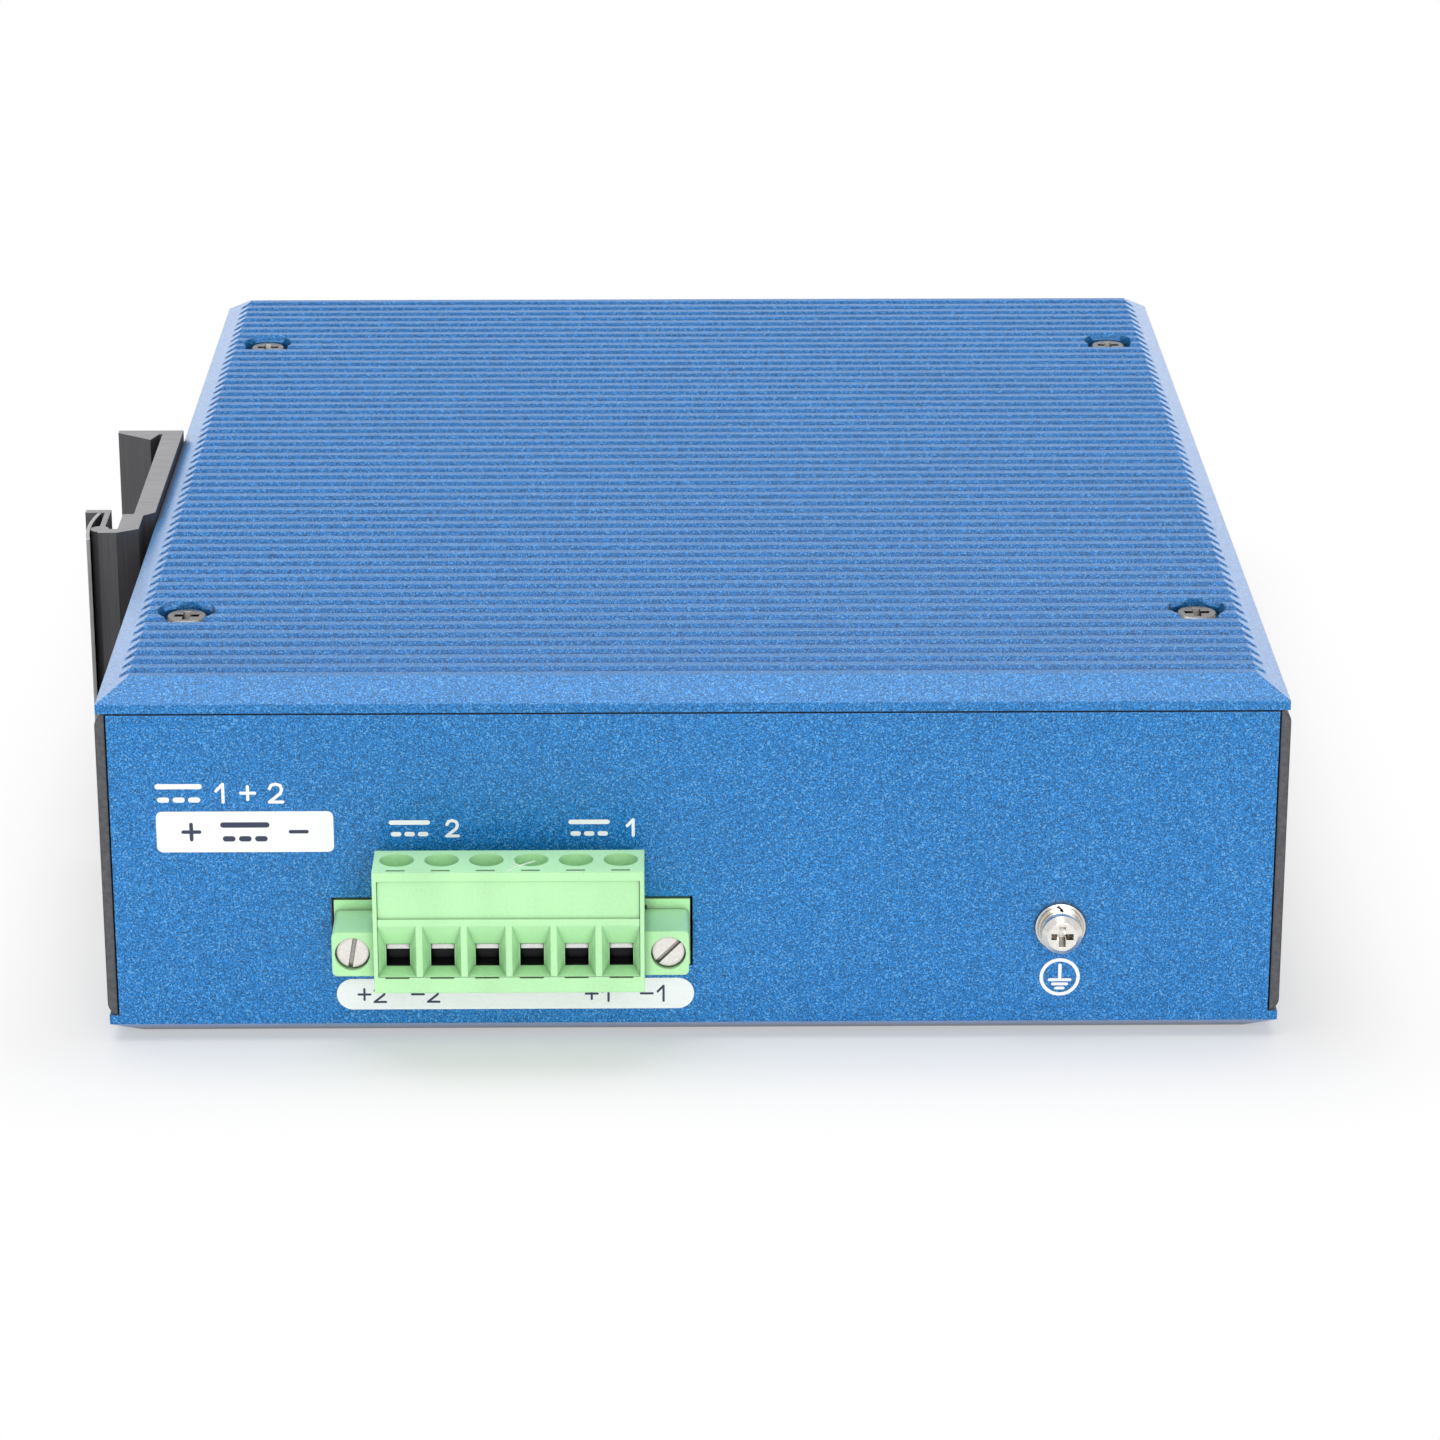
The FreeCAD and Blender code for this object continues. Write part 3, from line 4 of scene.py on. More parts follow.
import bmesh
import bpy
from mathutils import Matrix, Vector


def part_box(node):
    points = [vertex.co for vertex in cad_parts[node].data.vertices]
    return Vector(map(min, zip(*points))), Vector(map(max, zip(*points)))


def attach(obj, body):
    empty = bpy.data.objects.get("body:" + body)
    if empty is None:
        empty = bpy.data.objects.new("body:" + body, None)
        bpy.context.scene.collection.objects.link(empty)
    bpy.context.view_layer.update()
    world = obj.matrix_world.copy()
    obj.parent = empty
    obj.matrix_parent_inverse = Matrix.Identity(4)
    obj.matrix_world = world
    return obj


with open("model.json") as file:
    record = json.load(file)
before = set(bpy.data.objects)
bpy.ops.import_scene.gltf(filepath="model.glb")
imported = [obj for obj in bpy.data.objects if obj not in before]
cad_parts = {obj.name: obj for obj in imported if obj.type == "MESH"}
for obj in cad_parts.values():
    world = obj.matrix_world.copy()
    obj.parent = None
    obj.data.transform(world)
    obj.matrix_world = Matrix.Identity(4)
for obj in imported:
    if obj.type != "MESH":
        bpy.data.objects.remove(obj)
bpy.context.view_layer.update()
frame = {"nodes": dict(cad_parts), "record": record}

MM = 0.001
ROOT = "root"

# ---------------------------------------------------------------------------
# Places taken from the frame. Casing places are x from the middle of the base
# tray, y from its near end face and z from the base, all in millimetres.

tray_low, tray_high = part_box("base_tray")
case_middle = (tray_low.x + tray_high.x) / 2
near_face = tray_low.y


def spot(x, y, z):
    """A casing place in millimetres as a point of the frame in metres."""
    return Vector((case_middle + x * MM, near_face + y * MM, z * MM))


# ---------------------------------------------------------------------------
# Node materials


class Look:
    """A node material with one Principled shader, and short ways to add what feeds it."""

    def __init__(self, name, **sockets):
        self.material = bpy.data.materials.new(name)
        self.material.use_nodes = True
        self.tree = self.material.node_tree
        self.tree.nodes.clear()
        self.output = self.tree.nodes.new("ShaderNodeOutputMaterial")
        self.shader = self.tree.nodes.new("ShaderNodeBsdfPrincipled")
        self.link(self.shader.outputs[0], self.output.inputs[0])
        for socket, value in sockets.items():
            self.shader.inputs[socket.replace("_", " ")].default_value = value
        self.place = self.node("ShaderNodeTexCoord").outputs["Object"]

    def node(self, kind, **settings):
        """A new node with its own settings."""
        made = self.tree.nodes.new(kind)
        for key, value in settings.items():
            setattr(made, key, value)
        return made

    def link(self, source, target):
        self.tree.links.new(source, target)

    def feed(self, target, value):
        """Gives an input a plain value, or a link where value is an output."""
        if isinstance(value, bpy.types.NodeSocket):
            self.link(value, target)
        else:
            target.default_value = value

    def stretched(self, scale):
        """Object places scaled along each axis: under 1 draws a texture out along it."""
        mapping = self.node("ShaderNodeMapping")
        self.link(self.place, mapping.inputs["Vector"])
        mapping.inputs["Scale"].default_value = scale
        return mapping.outputs[0]

    def noise(self, size, detail=2.0, place=None, roughness=0.5):
        """Soft noise whose features are about size metres across."""
        made = self.node("ShaderNodeTexNoise")
        self.link(place or self.place, made.inputs["Vector"])
        made.inputs["Scale"].default_value = 1 / size
        made.inputs["Detail"].default_value = detail
        made.inputs["Roughness"].default_value = roughness
        return made.outputs[0]

    def cells(self, size, place=None):
        """A random grey value for each cell about size metres across."""
        made = self.node("ShaderNodeTexVoronoi")
        self.link(place or self.place, made.inputs["Vector"])
        made.inputs["Scale"].default_value = 1 / size
        parts = self.node("ShaderNodeSeparateColor")
        self.link(made.outputs["Color"], parts.inputs[0])
        return parts.outputs[0]

    def ramp(self, value, *stops):
        """A colour or grey ramp over value; each stop is (place, colour)."""
        made = self.node("ShaderNodeValToRGB")
        steps = made.color_ramp.elements
        while len(steps) < len(stops):
            steps.new(0.5)
        for step, (position, colour) in zip(steps, stops):
            step.position = position
            step.color = (*colour, 1) if len(colour) == 3 else (*colour * 3, 1)
        self.link(value, made.inputs[0])
        return made.outputs[0]

    def math(self, operation, first, second=0.0):
        """The result of one sum on outputs or plain numbers."""
        made = self.node("ShaderNodeMath", operation=operation)
        self.feed(made.inputs[0], first)
        self.feed(made.inputs[1], second)
        return made.outputs[0]

    def mix(self, factor, first, second, blend="MIX"):
        """Two colours mixed, or blended, by factor."""
        made = self.node("ShaderNodeMix", data_type="RGBA", blend_type=blend)
        self.feed(made.inputs[0], factor)
        self.feed(made.inputs[6], first if not isinstance(first, tuple) else (*first, 1))
        self.feed(made.inputs[7], second if not isinstance(second, tuple) else (*second, 1))
        return made.outputs[2]

    def spread(self, value, low, high):
        """value, from 0 to 1, spread between low and high."""
        made = self.node("ShaderNodeMapRange")
        self.link(value, made.inputs[0])
        made.inputs[3].default_value = low
        made.inputs[4].default_value = high
        return made.outputs[0]

    def painted_recess_shade(self, reach, dark, closed=0.30, opened=0.85):
        """Painted shade: white on open faces, down to dark where something closes in within reach."""
        made = self.node("ShaderNodeAmbientOcclusion", samples=8)
        made.inputs["Distance"].default_value = reach
        return self.ramp(made.outputs["AO"], (closed, dark), (opened, (1.0,)))

    def soft_edges(self, radius, samples=4):
        """A normal that rounds the edges, for bumps to stand on."""
        made = self.node("ShaderNodeBevel", samples=samples)
        made.inputs["Radius"].default_value = radius
        return made.outputs[0]

    def bump(self, height, distance, strength=1.0, normal=None):
        """A normal that a height output raises by up to distance metres."""
        made = self.node("ShaderNodeBump")
        made.inputs["Strength"].default_value = strength
        made.inputs["Distance"].default_value = distance
        self.link(height, made.inputs["Height"])
        if normal is not None:
            self.link(normal, made.inputs["Normal"])
        return made.outputs[0]

    def colour(self, value):
        self.link(value, self.shader.inputs["Base Color"])

    def rough(self, value):
        self.link(value, self.shader.inputs["Roughness"])

    def normal(self, value):
        self.link(value, self.shader.inputs["Normal"])


def tint(colour, gain):
    """colour made lighter or darker, never over 1."""
    return tuple(min(1.0, part * gain) for part in colour)


BLUE = (0.010, 0.180, 0.50)
FLAKE_BLUE = (0.17, 0.50, 0.90)
GREEN = (0.51, 0.89, 0.475)


def sparkle_coat():
    """The blue coat: very fine flakes in a satin film that turns pale where it is seen edge-on, with painted
    shade in its grooves and recesses.
    """
    look = Look("blue_coat", IOR=1.45, Sheen_Weight=0.32, Sheen_Roughness=0.3, Sheen_Tint=(1, 0.90, 0.88, 1))
    fine = look.noise(0.17 * MM, detail=1, roughness=0.7)
    body = look.ramp(fine, (0.34, tint(BLUE, 0.4)), (0.5, BLUE), (0.66, tint(BLUE, 1.75)))
    flakes = look.ramp(look.cells(0.15 * MM), (0.80, (0.0,)), (0.95, (1.0,)))
    body = look.mix(look.math("MULTIPLY", flakes, 0.7), body, FLAKE_BLUE)
    pits = look.ramp(look.cells(0.18 * MM, look.stretched((1, 1.3, 0.9))), (0.82, (0.0,)), (0.95, (1.0,)))
    body = look.mix(look.math("MULTIPLY", pits, 0.5), body, tint(BLUE, 0.25))
    broad = look.noise(26 * MM, detail=2)
    shade = look.ramp(broad, (0.25, (0.95,)), (0.75, (1.0,)))
    # Painted shade: the grooves between the ribs and other recesses are darkened in the blue.
    body = look.mix(1.0, body, look.painted_recess_shade(1.2 * MM, (0.28,), closed=0.50), "MULTIPLY")
    look.colour(look.mix(1.0, body, shade, "MULTIPLY"))
    look.rough(look.spread(fine, 0.26, 0.38))
    grain = look.noise(0.2 * MM, detail=2, roughness=0.6)
    look.normal(look.bump(grain, 0.007 * MM, 0.8, look.soft_edges(0.18 * MM)))
    return look.material


def grain_coat():
    """The matt black coat of the folded side panels, with a fine orange peel."""
    look = Look("black_coat", IOR=1.45)
    peel = look.noise(0.5 * MM, detail=3)
    look.colour(look.ramp(peel, (0.3, (0.060, 0.060, 0.067)), (0.7, (0.105, 0.105, 0.113))))
    look.rough(look.spread(peel, 0.42, 0.62))
    look.normal(look.bump(peel, 0.03 * MM, 0.8, look.soft_edges(0.35 * MM)))
    return look.material


SAWN_FACING = 0.9  # how nearly along the extrusion a sawn end faces


def drawn_aluminium():
    """Black anodised extrusion: fine lines along its length, and pale sawn ends."""
    look = Look("clip_anodise", Metallic=0.35)
    streaks = look.noise(0.35 * MM, detail=4, place=look.stretched((1, 1, 0.02)), roughness=0.65)
    grain = look.noise(0.25 * MM, detail=2)
    side = look.ramp(streaks, (0.3, (0.070, 0.068, 0.073)), (0.7, (0.095, 0.093, 0.099)))
    saw = look.noise(0.3 * MM, detail=3, place=look.stretched((0.08, 1, 1)))
    end = look.ramp(saw, (0.3, (0.25, 0.245, 0.26)), (0.7, (0.34, 0.335, 0.35)))
    facing = look.node("ShaderNodeSeparateXYZ")
    look.link(look.node("ShaderNodeNewGeometry").outputs["True Normal"], facing.inputs[0])
    is_end = look.math("GREATER_THAN", look.math("ABSOLUTE", facing.outputs[2]), SAWN_FACING)
    look.colour(look.mix(is_end, side, end))
    look.rough(look.spread(grain, 0.38, 0.6))
    look.normal(look.bump(streaks, 0.012 * MM, 0.8, look.soft_edges(0.15 * MM)))
    return look.material


def metal(name, colour, rough, lines=(1, 1, 1), size=0.3 * MM, stain=0.12, height=0.004 * MM,
          reach=0.7 * MM, dark=(0.05,)):
    """Plated or bare metal: fine tool lines, a faint cloudy stain, softened edges and painted shade that
    darkens its recesses down to dark within reach.
    """
    look = Look(name, Metallic=1.0)
    tool = look.noise(size, detail=4, place=look.stretched(lines), roughness=0.6)
    cloud = look.noise(3 * MM, detail=3)
    clean = look.ramp(tool, (0.25, tint(colour, 0.88)), (0.75, tint(colour, 1.08)))
    worn = look.mix(look.spread(cloud, 0.0, stain * 2), clean, tint(colour, 0.55))
    # Painted shade: recesses such as screw crosses, slots and the gaps between parts are darkened towards
    # dark.
    look.colour(look.mix(1.0, worn, look.painted_recess_shade(reach, dark), "MULTIPLY"))
    look.rough(look.spread(tool, rough * 0.75, rough * 1.3))
    look.normal(look.bump(tool, height, 0.7, look.soft_edges(0.08 * MM)))
    return look.material


def moulded(name, colour, rough=0.42, soft=0.0, swing=0.07, size=0.35 * MM, edge=0.16 * MM):
    """Moulded plastic: spark-eroded skin, faint flow shades, softened edges and painted shade in its
    recesses.
    """
    look = Look(name, Subsurface_Weight=soft, Subsurface_Scale=1.2 * MM, IOR=1.5)
    skin = look.noise(size, detail=3, roughness=0.6)
    flow = look.noise(7 * MM, detail=2, place=look.stretched((1, 1, 0.4)))
    body = look.ramp(flow, (0.25, tint(colour, 1 - swing)), (0.75, tint(colour, 1 + swing)))
    fleck = look.ramp(skin, (0.2, (1 - swing,)), (0.6, (1.0,)))
    skin_shade = look.mix(1.0, body, fleck, "MULTIPLY")
    # Painted shade: corners and recesses of the plastic are darkened.
    look.colour(look.mix(1.0, skin_shade, look.painted_recess_shade(1.5 * MM, (0.45,)), "MULTIPLY"))
    look.rough(look.spread(skin, rough * 0.85, rough * 1.2))
    look.normal(look.bump(skin, 0.008 * MM, 0.7, look.soft_edges(edge)))
    return look.material


def board_resist():
    """Green solder resist with faint copper tracks showing under it, and a pale woven edge."""
    look = Look("board_resist", IOR=1.5, Coat_Weight=0.4, Coat_Roughness=0.15)
    tracks = look.node("ShaderNodeTexVoronoi", feature="DISTANCE_TO_EDGE")
    look.link(look.place, tracks.inputs["Vector"])
    tracks.inputs["Scale"].default_value = 1 / (4 * MM)
    lanes = look.ramp(tracks.outputs[0], (0.04, (1.0,)), (0.06, (0.0,)))
    grain = look.noise(0.4 * MM, detail=3)
    base = look.ramp(grain, (0.3, (0.02, 0.11, 0.05)), (0.7, (0.03, 0.16, 0.07)))
    look.colour(look.mix(look.math("MULTIPLY", lanes, 0.5), base, (0.06, 0.26, 0.10)))
    look.rough(look.spread(grain, 0.3, 0.45))
    look.normal(look.bump(lanes, 0.03 * MM, 0.6))
    return look.material


def ink(name, colour):
    """Screen-printed ink: a slightly uneven film."""
    look = Look(name, IOR=1.45)
    film = look.noise(0.35 * MM, detail=3, roughness=0.65)
    look.colour(look.ramp(film, (0.2, tint(colour, 0.93)), (0.55, colour)))
    look.rough(look.spread(film, 0.45, 0.6))
    look.normal(look.bump(film, 0.006 * MM, 0.6))
    return look.material


def lens(name, colour):
    """A diffused lamp lens."""
    look = Look(name, Transmission_Weight=0.35, IOR=1.46)
    haze = look.noise(0.6 * MM, detail=2)
    look.colour(look.ramp(haze, (0.3, tint(colour, 0.85)), (0.7, colour)))
    look.rough(look.spread(haze, 0.12, 0.25))
    look.normal(look.bump(haze, 0.01 * MM, 0.3))
    return look.material


# One look for each material slot of the record
looks = {
    "blue_cover": sparkle_coat(),
    "black_panel": grain_coat(),
    "clip_metal": drawn_aluminium(),
    "spring_steel": metal("spring_steel", (0.50, 0.50, 0.51), 0.34, lines=(1, 1, 0.05)),
    "black_steel": metal("black_oxide", (0.035, 0.035, 0.038), 0.45),
    # The nickel screws get deeper, wider painted shade in their crosses and slots through reach and dark.
    "dark_nickel": metal("dark_nickel", (0.30, 0.285, 0.27), 0.26, reach=1.3 * MM, dark=(0.02,)),
    "bright_nickel": metal("bright_nickel", (0.90, 0.87, 0.82), 0.18, dark=(0.12, 0.095, 0.08)),
    "green_plastic": moulded("green_polyamide", GREEN, soft=0.05),
    "black_plastic": moulded("black_polyester", (0.030, 0.030, 0.033), 0.5),
    "board_green": board_resist(),
    "tin_shell": metal("tinned_steel", (0.78, 0.78, 0.76), 0.28, lines=(1, 0.1, 1)),
    "gold_contact": metal("gold_plate", (0.92, 0.70, 0.33), 0.2, lines=(0.1, 1, 1)),
    "brass": metal("turned_brass", (0.80, 0.62, 0.32), 0.25),
    "lamp_lens": lens("lamp_lens", (0.55, 0.85, 0.50)),
    "fin_black": metal("fin_anodise", (0.06, 0.06, 0.065), 0.4, lines=(1, 0.1, 1)),
    "can_sleeve": moulded("can_sleeve", (0.03, 0.04, 0.09), 0.3),
    "ferrite": moulded("sintered_ferrite", (0.06, 0.06, 0.06), 0.6, swing=0.2, size=0.6 * MM),
}
for row in frame["record"]["subparts"]:
    slots = frame["nodes"][row["node"]].data.materials
    slots.clear()
    slots.append(looks[row["material_slot"]])

# ---------------------------------------------------------------------------
# Printed marks on the near end face: plates of ink, signs and numbers, and a hair on the plug

INK_HIGH = 0.03
CROSSING_LIFT = 0.004
STROKE = 0.36


def rounded(width, high, radius, steps=8):
    """The outline of a rounded rectangle about its own middle, in millimetres."""
    points = []
    for turn, (side, up) in enumerate([(1, 1), (-1, 1), (-1, -1), (1, -1)]):
        for step in range(steps + 1):
            angle = math.radians(90 * (turn + step / steps))
            points.append((side * (width / 2 - radius) + radius * math.cos(angle),
                           up * (high / 2 - radius) + radius * math.sin(angle)))
    return points


def add_plate(mesh, outline, x, z, lift):
    """One flat plate of ink in the bmesh, standing lift millimetres off the end face."""
    back = [mesh.verts.new(spot(x + px, -lift, z + pz)) for px, pz in outline]
    front = [mesh.verts.new(spot(x + px, -lift - INK_HIGH, z + pz)) for px, pz in outline]
    mesh.faces.new(front)
    mesh.faces.new(list(reversed(back)))
    for first in range(len(outline)):
        second = (first + 1) % len(outline)
        mesh.faces.new([back[first], back[second], front[second], front[first]])


def add_ring(mesh, x, z, outer, inner, steps=64):
    """One flat ring of ink in the bmesh."""
    rings = []
    for radius, lift in [(outer, 0), (outer, INK_HIGH), (inner, INK_HIGH), (inner, 0)]:
        turn = [2 * math.pi * step / steps for step in range(steps)]
        rings.append([mesh.verts.new(spot(x + radius * math.cos(a), -lift, z + radius * math.sin(a)))
                      for a in turn])
    for first in range(4):
        one, two = rings[first], rings[(first + 1) % 4]
        for step in range(steps):
            after = (step + 1) % steps
            mesh.faces.new([one[step], one[after], two[after], two[step]])


def finish_mesh(name, mesh, material):
    """The bmesh as a piece that rides on the part."""
    bmesh.ops.recalc_face_normals(mesh, faces=mesh.faces)
    data = bpy.data.meshes.new(name)
    mesh.to_mesh(data)
    mesh.free()
    piece = bpy.data.objects.new(name, data)
    bpy.context.scene.collection.objects.link(piece)
    data.materials.append(material)
    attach(piece, ROOT)
    return piece


# Each number as the points of one stroke, from 0 to 1 in height
NUMBER_SHAPES = {
    "1": [(-0.28, 0.62), (0.08, 1.0), (0.08, 0.0)],
    "2": [(-0.32, 0.74), (-0.22, 0.93), (0.0, 1.0), (0.24, 0.92), (0.32, 0.70), (0.24, 0.47),
          (-0.34, 0.0), (0.36, 0.0)],
}


def add_bar(mesh, start, end, width, lift):
    """A straight stroke of ink with round ends, from start to end."""
    run = Vector((end[0] - start[0], end[1] - start[1]))
    angle = math.atan2(run.y, run.x)
    outline = []
    steps = 6
    for centre, base in ((end, angle - math.pi / 2), (start, angle + math.pi / 2)):
        for step in range(steps + 1):
            turn = base + math.pi * step / steps
            outline.append((centre[0] + width / 2 * math.cos(turn), centre[1] + width / 2 * math.sin(turn)))
    add_plate(mesh, outline, 0, 0, lift)


def add_sign(mesh, sign, x, z, high, width, lift=0.0):
    """A number, a plus or a minus, with its middle at x, z."""
    if sign in "+-":
        reach = high * 0.36
        add_bar(mesh, (x - reach, z), (x + reach, z), width, lift)
        if sign == "+":
            add_bar(mesh, (x, z - reach), (x, z + reach), width, lift + CROSSING_LIFT)
        return
    places = [(x + px * high, z + (pz - 0.5) * high) for px, pz in NUMBER_SHAPES[sign]]
    for step, (start, end) in enumerate(zip(places, places[1:])):
        add_bar(mesh, start, end, width, lift + 0.003 * (step % 2))


def add_direct_current(mesh, x, z, width, lift=0.0):
    """The direct current sign: a line over three dashes."""
    half = width / 2
    stroke = width * 0.13
    add_bar(mesh, (x - half, z + width * 0.17), (x + half, z + width * 0.17), stroke, lift)
    for dash in (-1, 0, 1):
        middle = x + dash * width * 0.37
        add_bar(mesh, (middle - width * 0.08, z - width * 0.17), (middle + width * 0.08, z - width * 0.17),
                stroke, lift)


# Places and sizes on the end face, as x, z and millimetres
PLATE_X, PLATE_Z = -51.45, 26.2
FIELD_X, FIELD_Z = -20.75, 5.875
SUPPLY_Z = 30.95
INPUT_Z = 26.55
EARTH_X = 42.5
EARTH_RING_Z = 7.7
POLE_SIGN_Z = 5.85
POLE_SIGN_HALF_GAP = 0.9
PLATE_SIGN_GAP = 6.15


def white_marks():
    """The plate, the rounded field, the signs above both and the earth sign."""
    mesh = bmesh.new()
    add_plate(mesh, rounded(20.3, 5.0, 0.7), PLATE_X, PLATE_Z, 0)
    add_plate(mesh, rounded(41.5, 3.85, 1.92, steps=16), FIELD_X, FIELD_Z, 0)
    add_direct_current(mesh, -58.9, SUPPLY_Z, 4.8)
    for x, sign in ((-54.0, "1"), (-51.0, "+"), (-47.8, "2")):
        add_sign(mesh, sign, x, SUPPLY_Z, 2.2, STROKE)
    for x, number in ((-27.7, "2"), (-7.1, "1")):
        add_direct_current(mesh, x - 4.9, INPUT_Z, 4.2)
        add_sign(mesh, number, x, INPUT_Z, 1.9, STROKE)
    add_ring(mesh, EARTH_X, EARTH_RING_Z, 2.35, 1.94)
    add_bar(mesh, (EARTH_X, 9.2), (EARTH_X, 7.6), 0.4, 0)
    for level, reach in ((7.35, 1.2), (6.82, 0.82), (6.3, 0.42)):
        add_bar(mesh, (EARTH_X - reach, level), (EARTH_X + reach, level), STROKE, CROSSING_LIFT)
    finish_mesh("white_marks", mesh, ink("white_ink", (0.98, 0.985, 0.985)))


def dark_marks():
    """The signs that stand on the plate and on the field."""
    mesh = bmesh.new()
    add_direct_current(mesh, PLATE_X, PLATE_Z, 5.0, INK_HIGH)
    add_sign(mesh, "+", PLATE_X - PLATE_SIGN_GAP, PLATE_Z, 2.6, 0.42, INK_HIGH)
    add_sign(mesh, "-", PLATE_X + PLATE_SIGN_GAP, PLATE_Z, 2.6, 0.42, INK_HIGH)
    for x, sign, number in ((-37.4, "+", "2"), (-31.2, "-", "2"), (-11.0, "+", "1"), (-4.6, "-", "1")):
        add_sign(mesh, sign, x - POLE_SIGN_HALF_GAP, POLE_SIGN_Z, 1.9, 0.26, INK_HIGH)
        add_sign(mesh, number, x + POLE_SIGN_HALF_GAP, POLE_SIGN_Z, 1.9, 0.26, INK_HIGH)
    finish_mesh("dark_marks", mesh, ink("dark_ink", (0.035, 0.045, 0.09)))


def add_hair(mesh, points, width, level):
    """A thin straight-sided hair that lies at one level along the (x, y) points."""
    for (x, y), (next_x, next_y) in zip(points, points[1:]):
        aside = Vector((y - next_y, next_x - x)).normalized() * width / 2
        corners = [(x + aside.x, y + aside.y), (next_x + aside.x, next_y + aside.y),
                   (next_x - aside.x, next_y - aside.y), (x - aside.x, y - aside.y)]
        low = [mesh.verts.new(spot(px, py, level)) for px, py in corners]
        high = [mesh.verts.new(spot(px, py, level + width)) for px, py in corners]
        mesh.faces.new(high)
        mesh.faces.new(list(reversed(low)))
        for first in range(4):
            second = (first + 1) % 4
            mesh.faces.new([low[first], low[second], high[second], high[first]])


def plug_hair():
    """The pale forked hair on the plug's top, from its near edge to the fourth screw hole."""
    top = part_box("plug_housing")[1].z / MM
    mesh = bmesh.new()
    add_hair(mesh, [(-21.1, -11.0), (-19.9, -9.3), (-18.9, -8.5), (-18.0, -7.8)], 0.10, top + 0.01)
    add_hair(mesh, [(-19.9, -9.3), (-20.5, -8.4), (-20.3, -7.6)], 0.08, top + 0.01)
    finish_mesh("plug_hair", mesh, ink("pale_hair", (0.90, 0.98, 0.88)))


white_marks()
dark_marks()
plug_hair()

# ---------------------------------------------------------------------------
# Floor, light and camera. The floor's own place is the frame's, in metres.


FLOOR_HALF = 4.0
FLOOR_GREY = 0.86
FADE_REACH = 30 * MM
FADE_START = 0.42


def away_from_tray(look):
    """The distance on the floor from the outline of the base tray."""
    middle = (tray_low + tray_high) / 2
    spans = look.node("ShaderNodeSeparateXYZ")
    look.link(look.place, spans.inputs[0])
    squares = []
    for axis in range(2):
        along = look.math("ABSOLUTE", look.math("SUBTRACT", spans.outputs[axis], middle[axis]))
        beyond = look.math("SUBTRACT", along, (tray_high[axis] - tray_low[axis]) / 2)
        outside = look.math("MAXIMUM", beyond, 0.0)
        squares.append(look.math("MULTIPLY", outside, outside))
    return look.math("SQRT", look.math("ADD", *squares))


def paper():
    """Pale paper that keeps the soft shadow near the part and is seen as white further out."""
    look = Look("floor_paper")
    look.tree.nodes.remove(look.shader)
    diffuse = look.node("ShaderNodeBsdfDiffuse")
    diffuse.inputs[0].default_value = (FLOOR_GREY, FLOOR_GREY, FLOOR_GREY, 1)
    white = look.node("ShaderNodeEmission")
    path = look.node("ShaderNodeLightPath")
    seen = look.math("MAXIMUM", path.outputs["Is Camera Ray"],
                     look.math("MAXIMUM", path.outputs["Is Glossy Ray"], path.outputs["Is Transmission Ray"]))
    fade = look.node("ShaderNodeMapRange", interpolation_type="SMOOTHSTEP")
    look.link(away_from_tray(look), fade.inputs[0])
    fade.inputs[1].default_value = 0.0
    fade.inputs[2].default_value = FADE_REACH
    fade.inputs[3].default_value = FADE_START
    fade.inputs[4].default_value = 1.0
    both = look.node("ShaderNodeMixShader")
    look.link(look.math("MULTIPLY", seen, fade.outputs[0]), both.inputs[0])
    look.link(diffuse.outputs[0], both.inputs[1])
    look.link(white.outputs[0], both.inputs[2])
    look.link(both.outputs[0], look.output.inputs[0])
    return look.material


def studio_floor():
    """A square of paper under the part."""
    mesh = bpy.data.meshes.new("floor")
    corners = [(-1, -1), (1, -1), (1, 1), (-1, 1)]
    mesh.from_pydata([(x * FLOOR_HALF, y * FLOOR_HALF, 0) for x, y in corners], [], [(0, 1, 2, 3)])
    mesh.materials.append(paper())
    floor = bpy.data.objects.new("floor", mesh)
    bpy.context.scene.collection.objects.link(floor)


WORLD_FILL = 0.38
WORLD_SEEN = 1.0


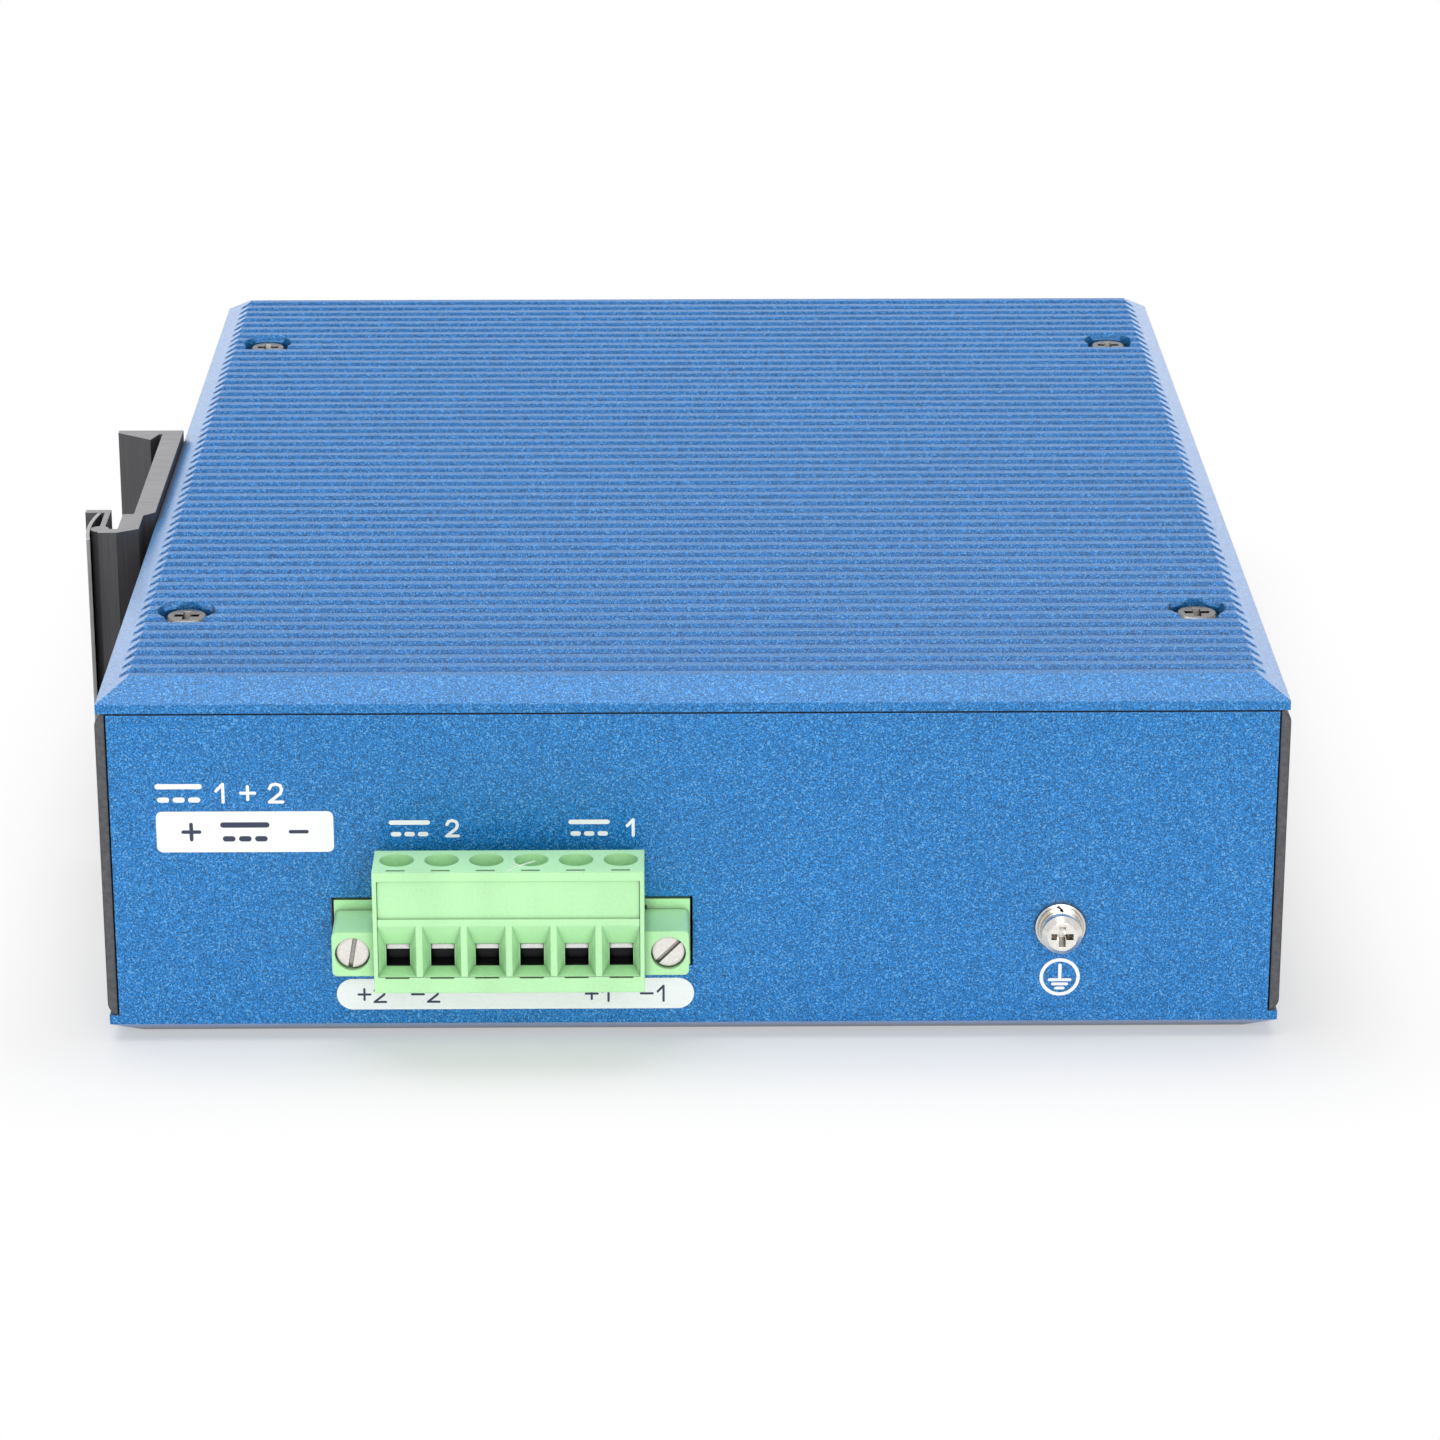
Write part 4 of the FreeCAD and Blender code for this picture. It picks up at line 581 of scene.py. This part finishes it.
def studio_world():
    """Even white surroundings: weaker as a light on the part, paper white where they are seen."""
    world = bpy.data.worlds.new("studio")
    bpy.context.scene.world = world
    world.use_nodes = True
    tree = world.node_tree
    tree.nodes.clear()
    output = tree.nodes.new("ShaderNodeOutputWorld")
    background = tree.nodes.new("ShaderNodeBackground")
    path = tree.nodes.new("ShaderNodeLightPath")
    either = tree.nodes.new("ShaderNodeMath")
    either.operation = "MAXIMUM"
    seen = tree.nodes.new("ShaderNodeMath")
    seen.operation = "MAXIMUM"
    level = tree.nodes.new("ShaderNodeMapRange")
    tree.links.new(path.outputs["Is Camera Ray"], either.inputs[0])
    tree.links.new(path.outputs["Is Glossy Ray"], either.inputs[1])
    tree.links.new(either.outputs[0], seen.inputs[0])
    tree.links.new(path.outputs["Is Transmission Ray"], seen.inputs[1])
    tree.links.new(seen.outputs[0], level.inputs[0])
    level.inputs[3].default_value = WORLD_FILL
    level.inputs[4].default_value = WORLD_SEEN
    tree.links.new(level.outputs[0], background.inputs["Strength"])
    tree.links.new(background.outputs[0], output.inputs[0])


def soft_box(name, place, target, size, power):
    """A soft area lamp of the given size that faces target."""
    lamp = bpy.data.lights.new(name, "AREA")
    lamp.shape = "RECTANGLE"
    lamp.size, lamp.size_y = size
    lamp.energy = power
    holder = bpy.data.objects.new(name, lamp)
    holder.location = place
    holder.rotation_euler = (Vector(target) - Vector(place)).to_track_quat("-Z", "Y").to_euler()
    bpy.context.scene.collection.objects.link(holder)


def photo_camera():
    """The camera stands before the end with the terminal, above it, with a long lens."""
    lens_data = bpy.data.cameras.new("camera")
    lens_data.lens = 116.02
    lens_data.sensor_width = 36.0
    lens_data.clip_start = 0.01
    lens_data.clip_end = 20.0
    camera = bpy.data.objects.new("camera", lens_data)
    camera.location = (0.00207, -0.57692, 0.22095)
    camera.rotation_euler = (math.radians(69.92), 0, math.radians(-0.60))
    bpy.context.scene.collection.objects.link(camera)
    bpy.context.scene.camera = camera


studio_floor()
studio_world()
soft_box("overhead", (-0.1, 0.1, 1.3), (0, 0, 0), (1.4, 1.4), 14.5)
soft_box("front", (0.15, -1.5, 0.45), (0, -0.08, 0.02), (1.0, 1.0), 12.3)
soft_box("rear_left", (-0.65, 1.5, 0.22), (0, 0, 0.03), (0.7, 0.4), 1.3)
soft_box("rear_right", (0.65, 1.5, 0.22), (0, 0, 0.03), (0.7, 0.4), 1.3)
photo_camera()
bpy.context.scene.view_settings.view_transform = "Standard"
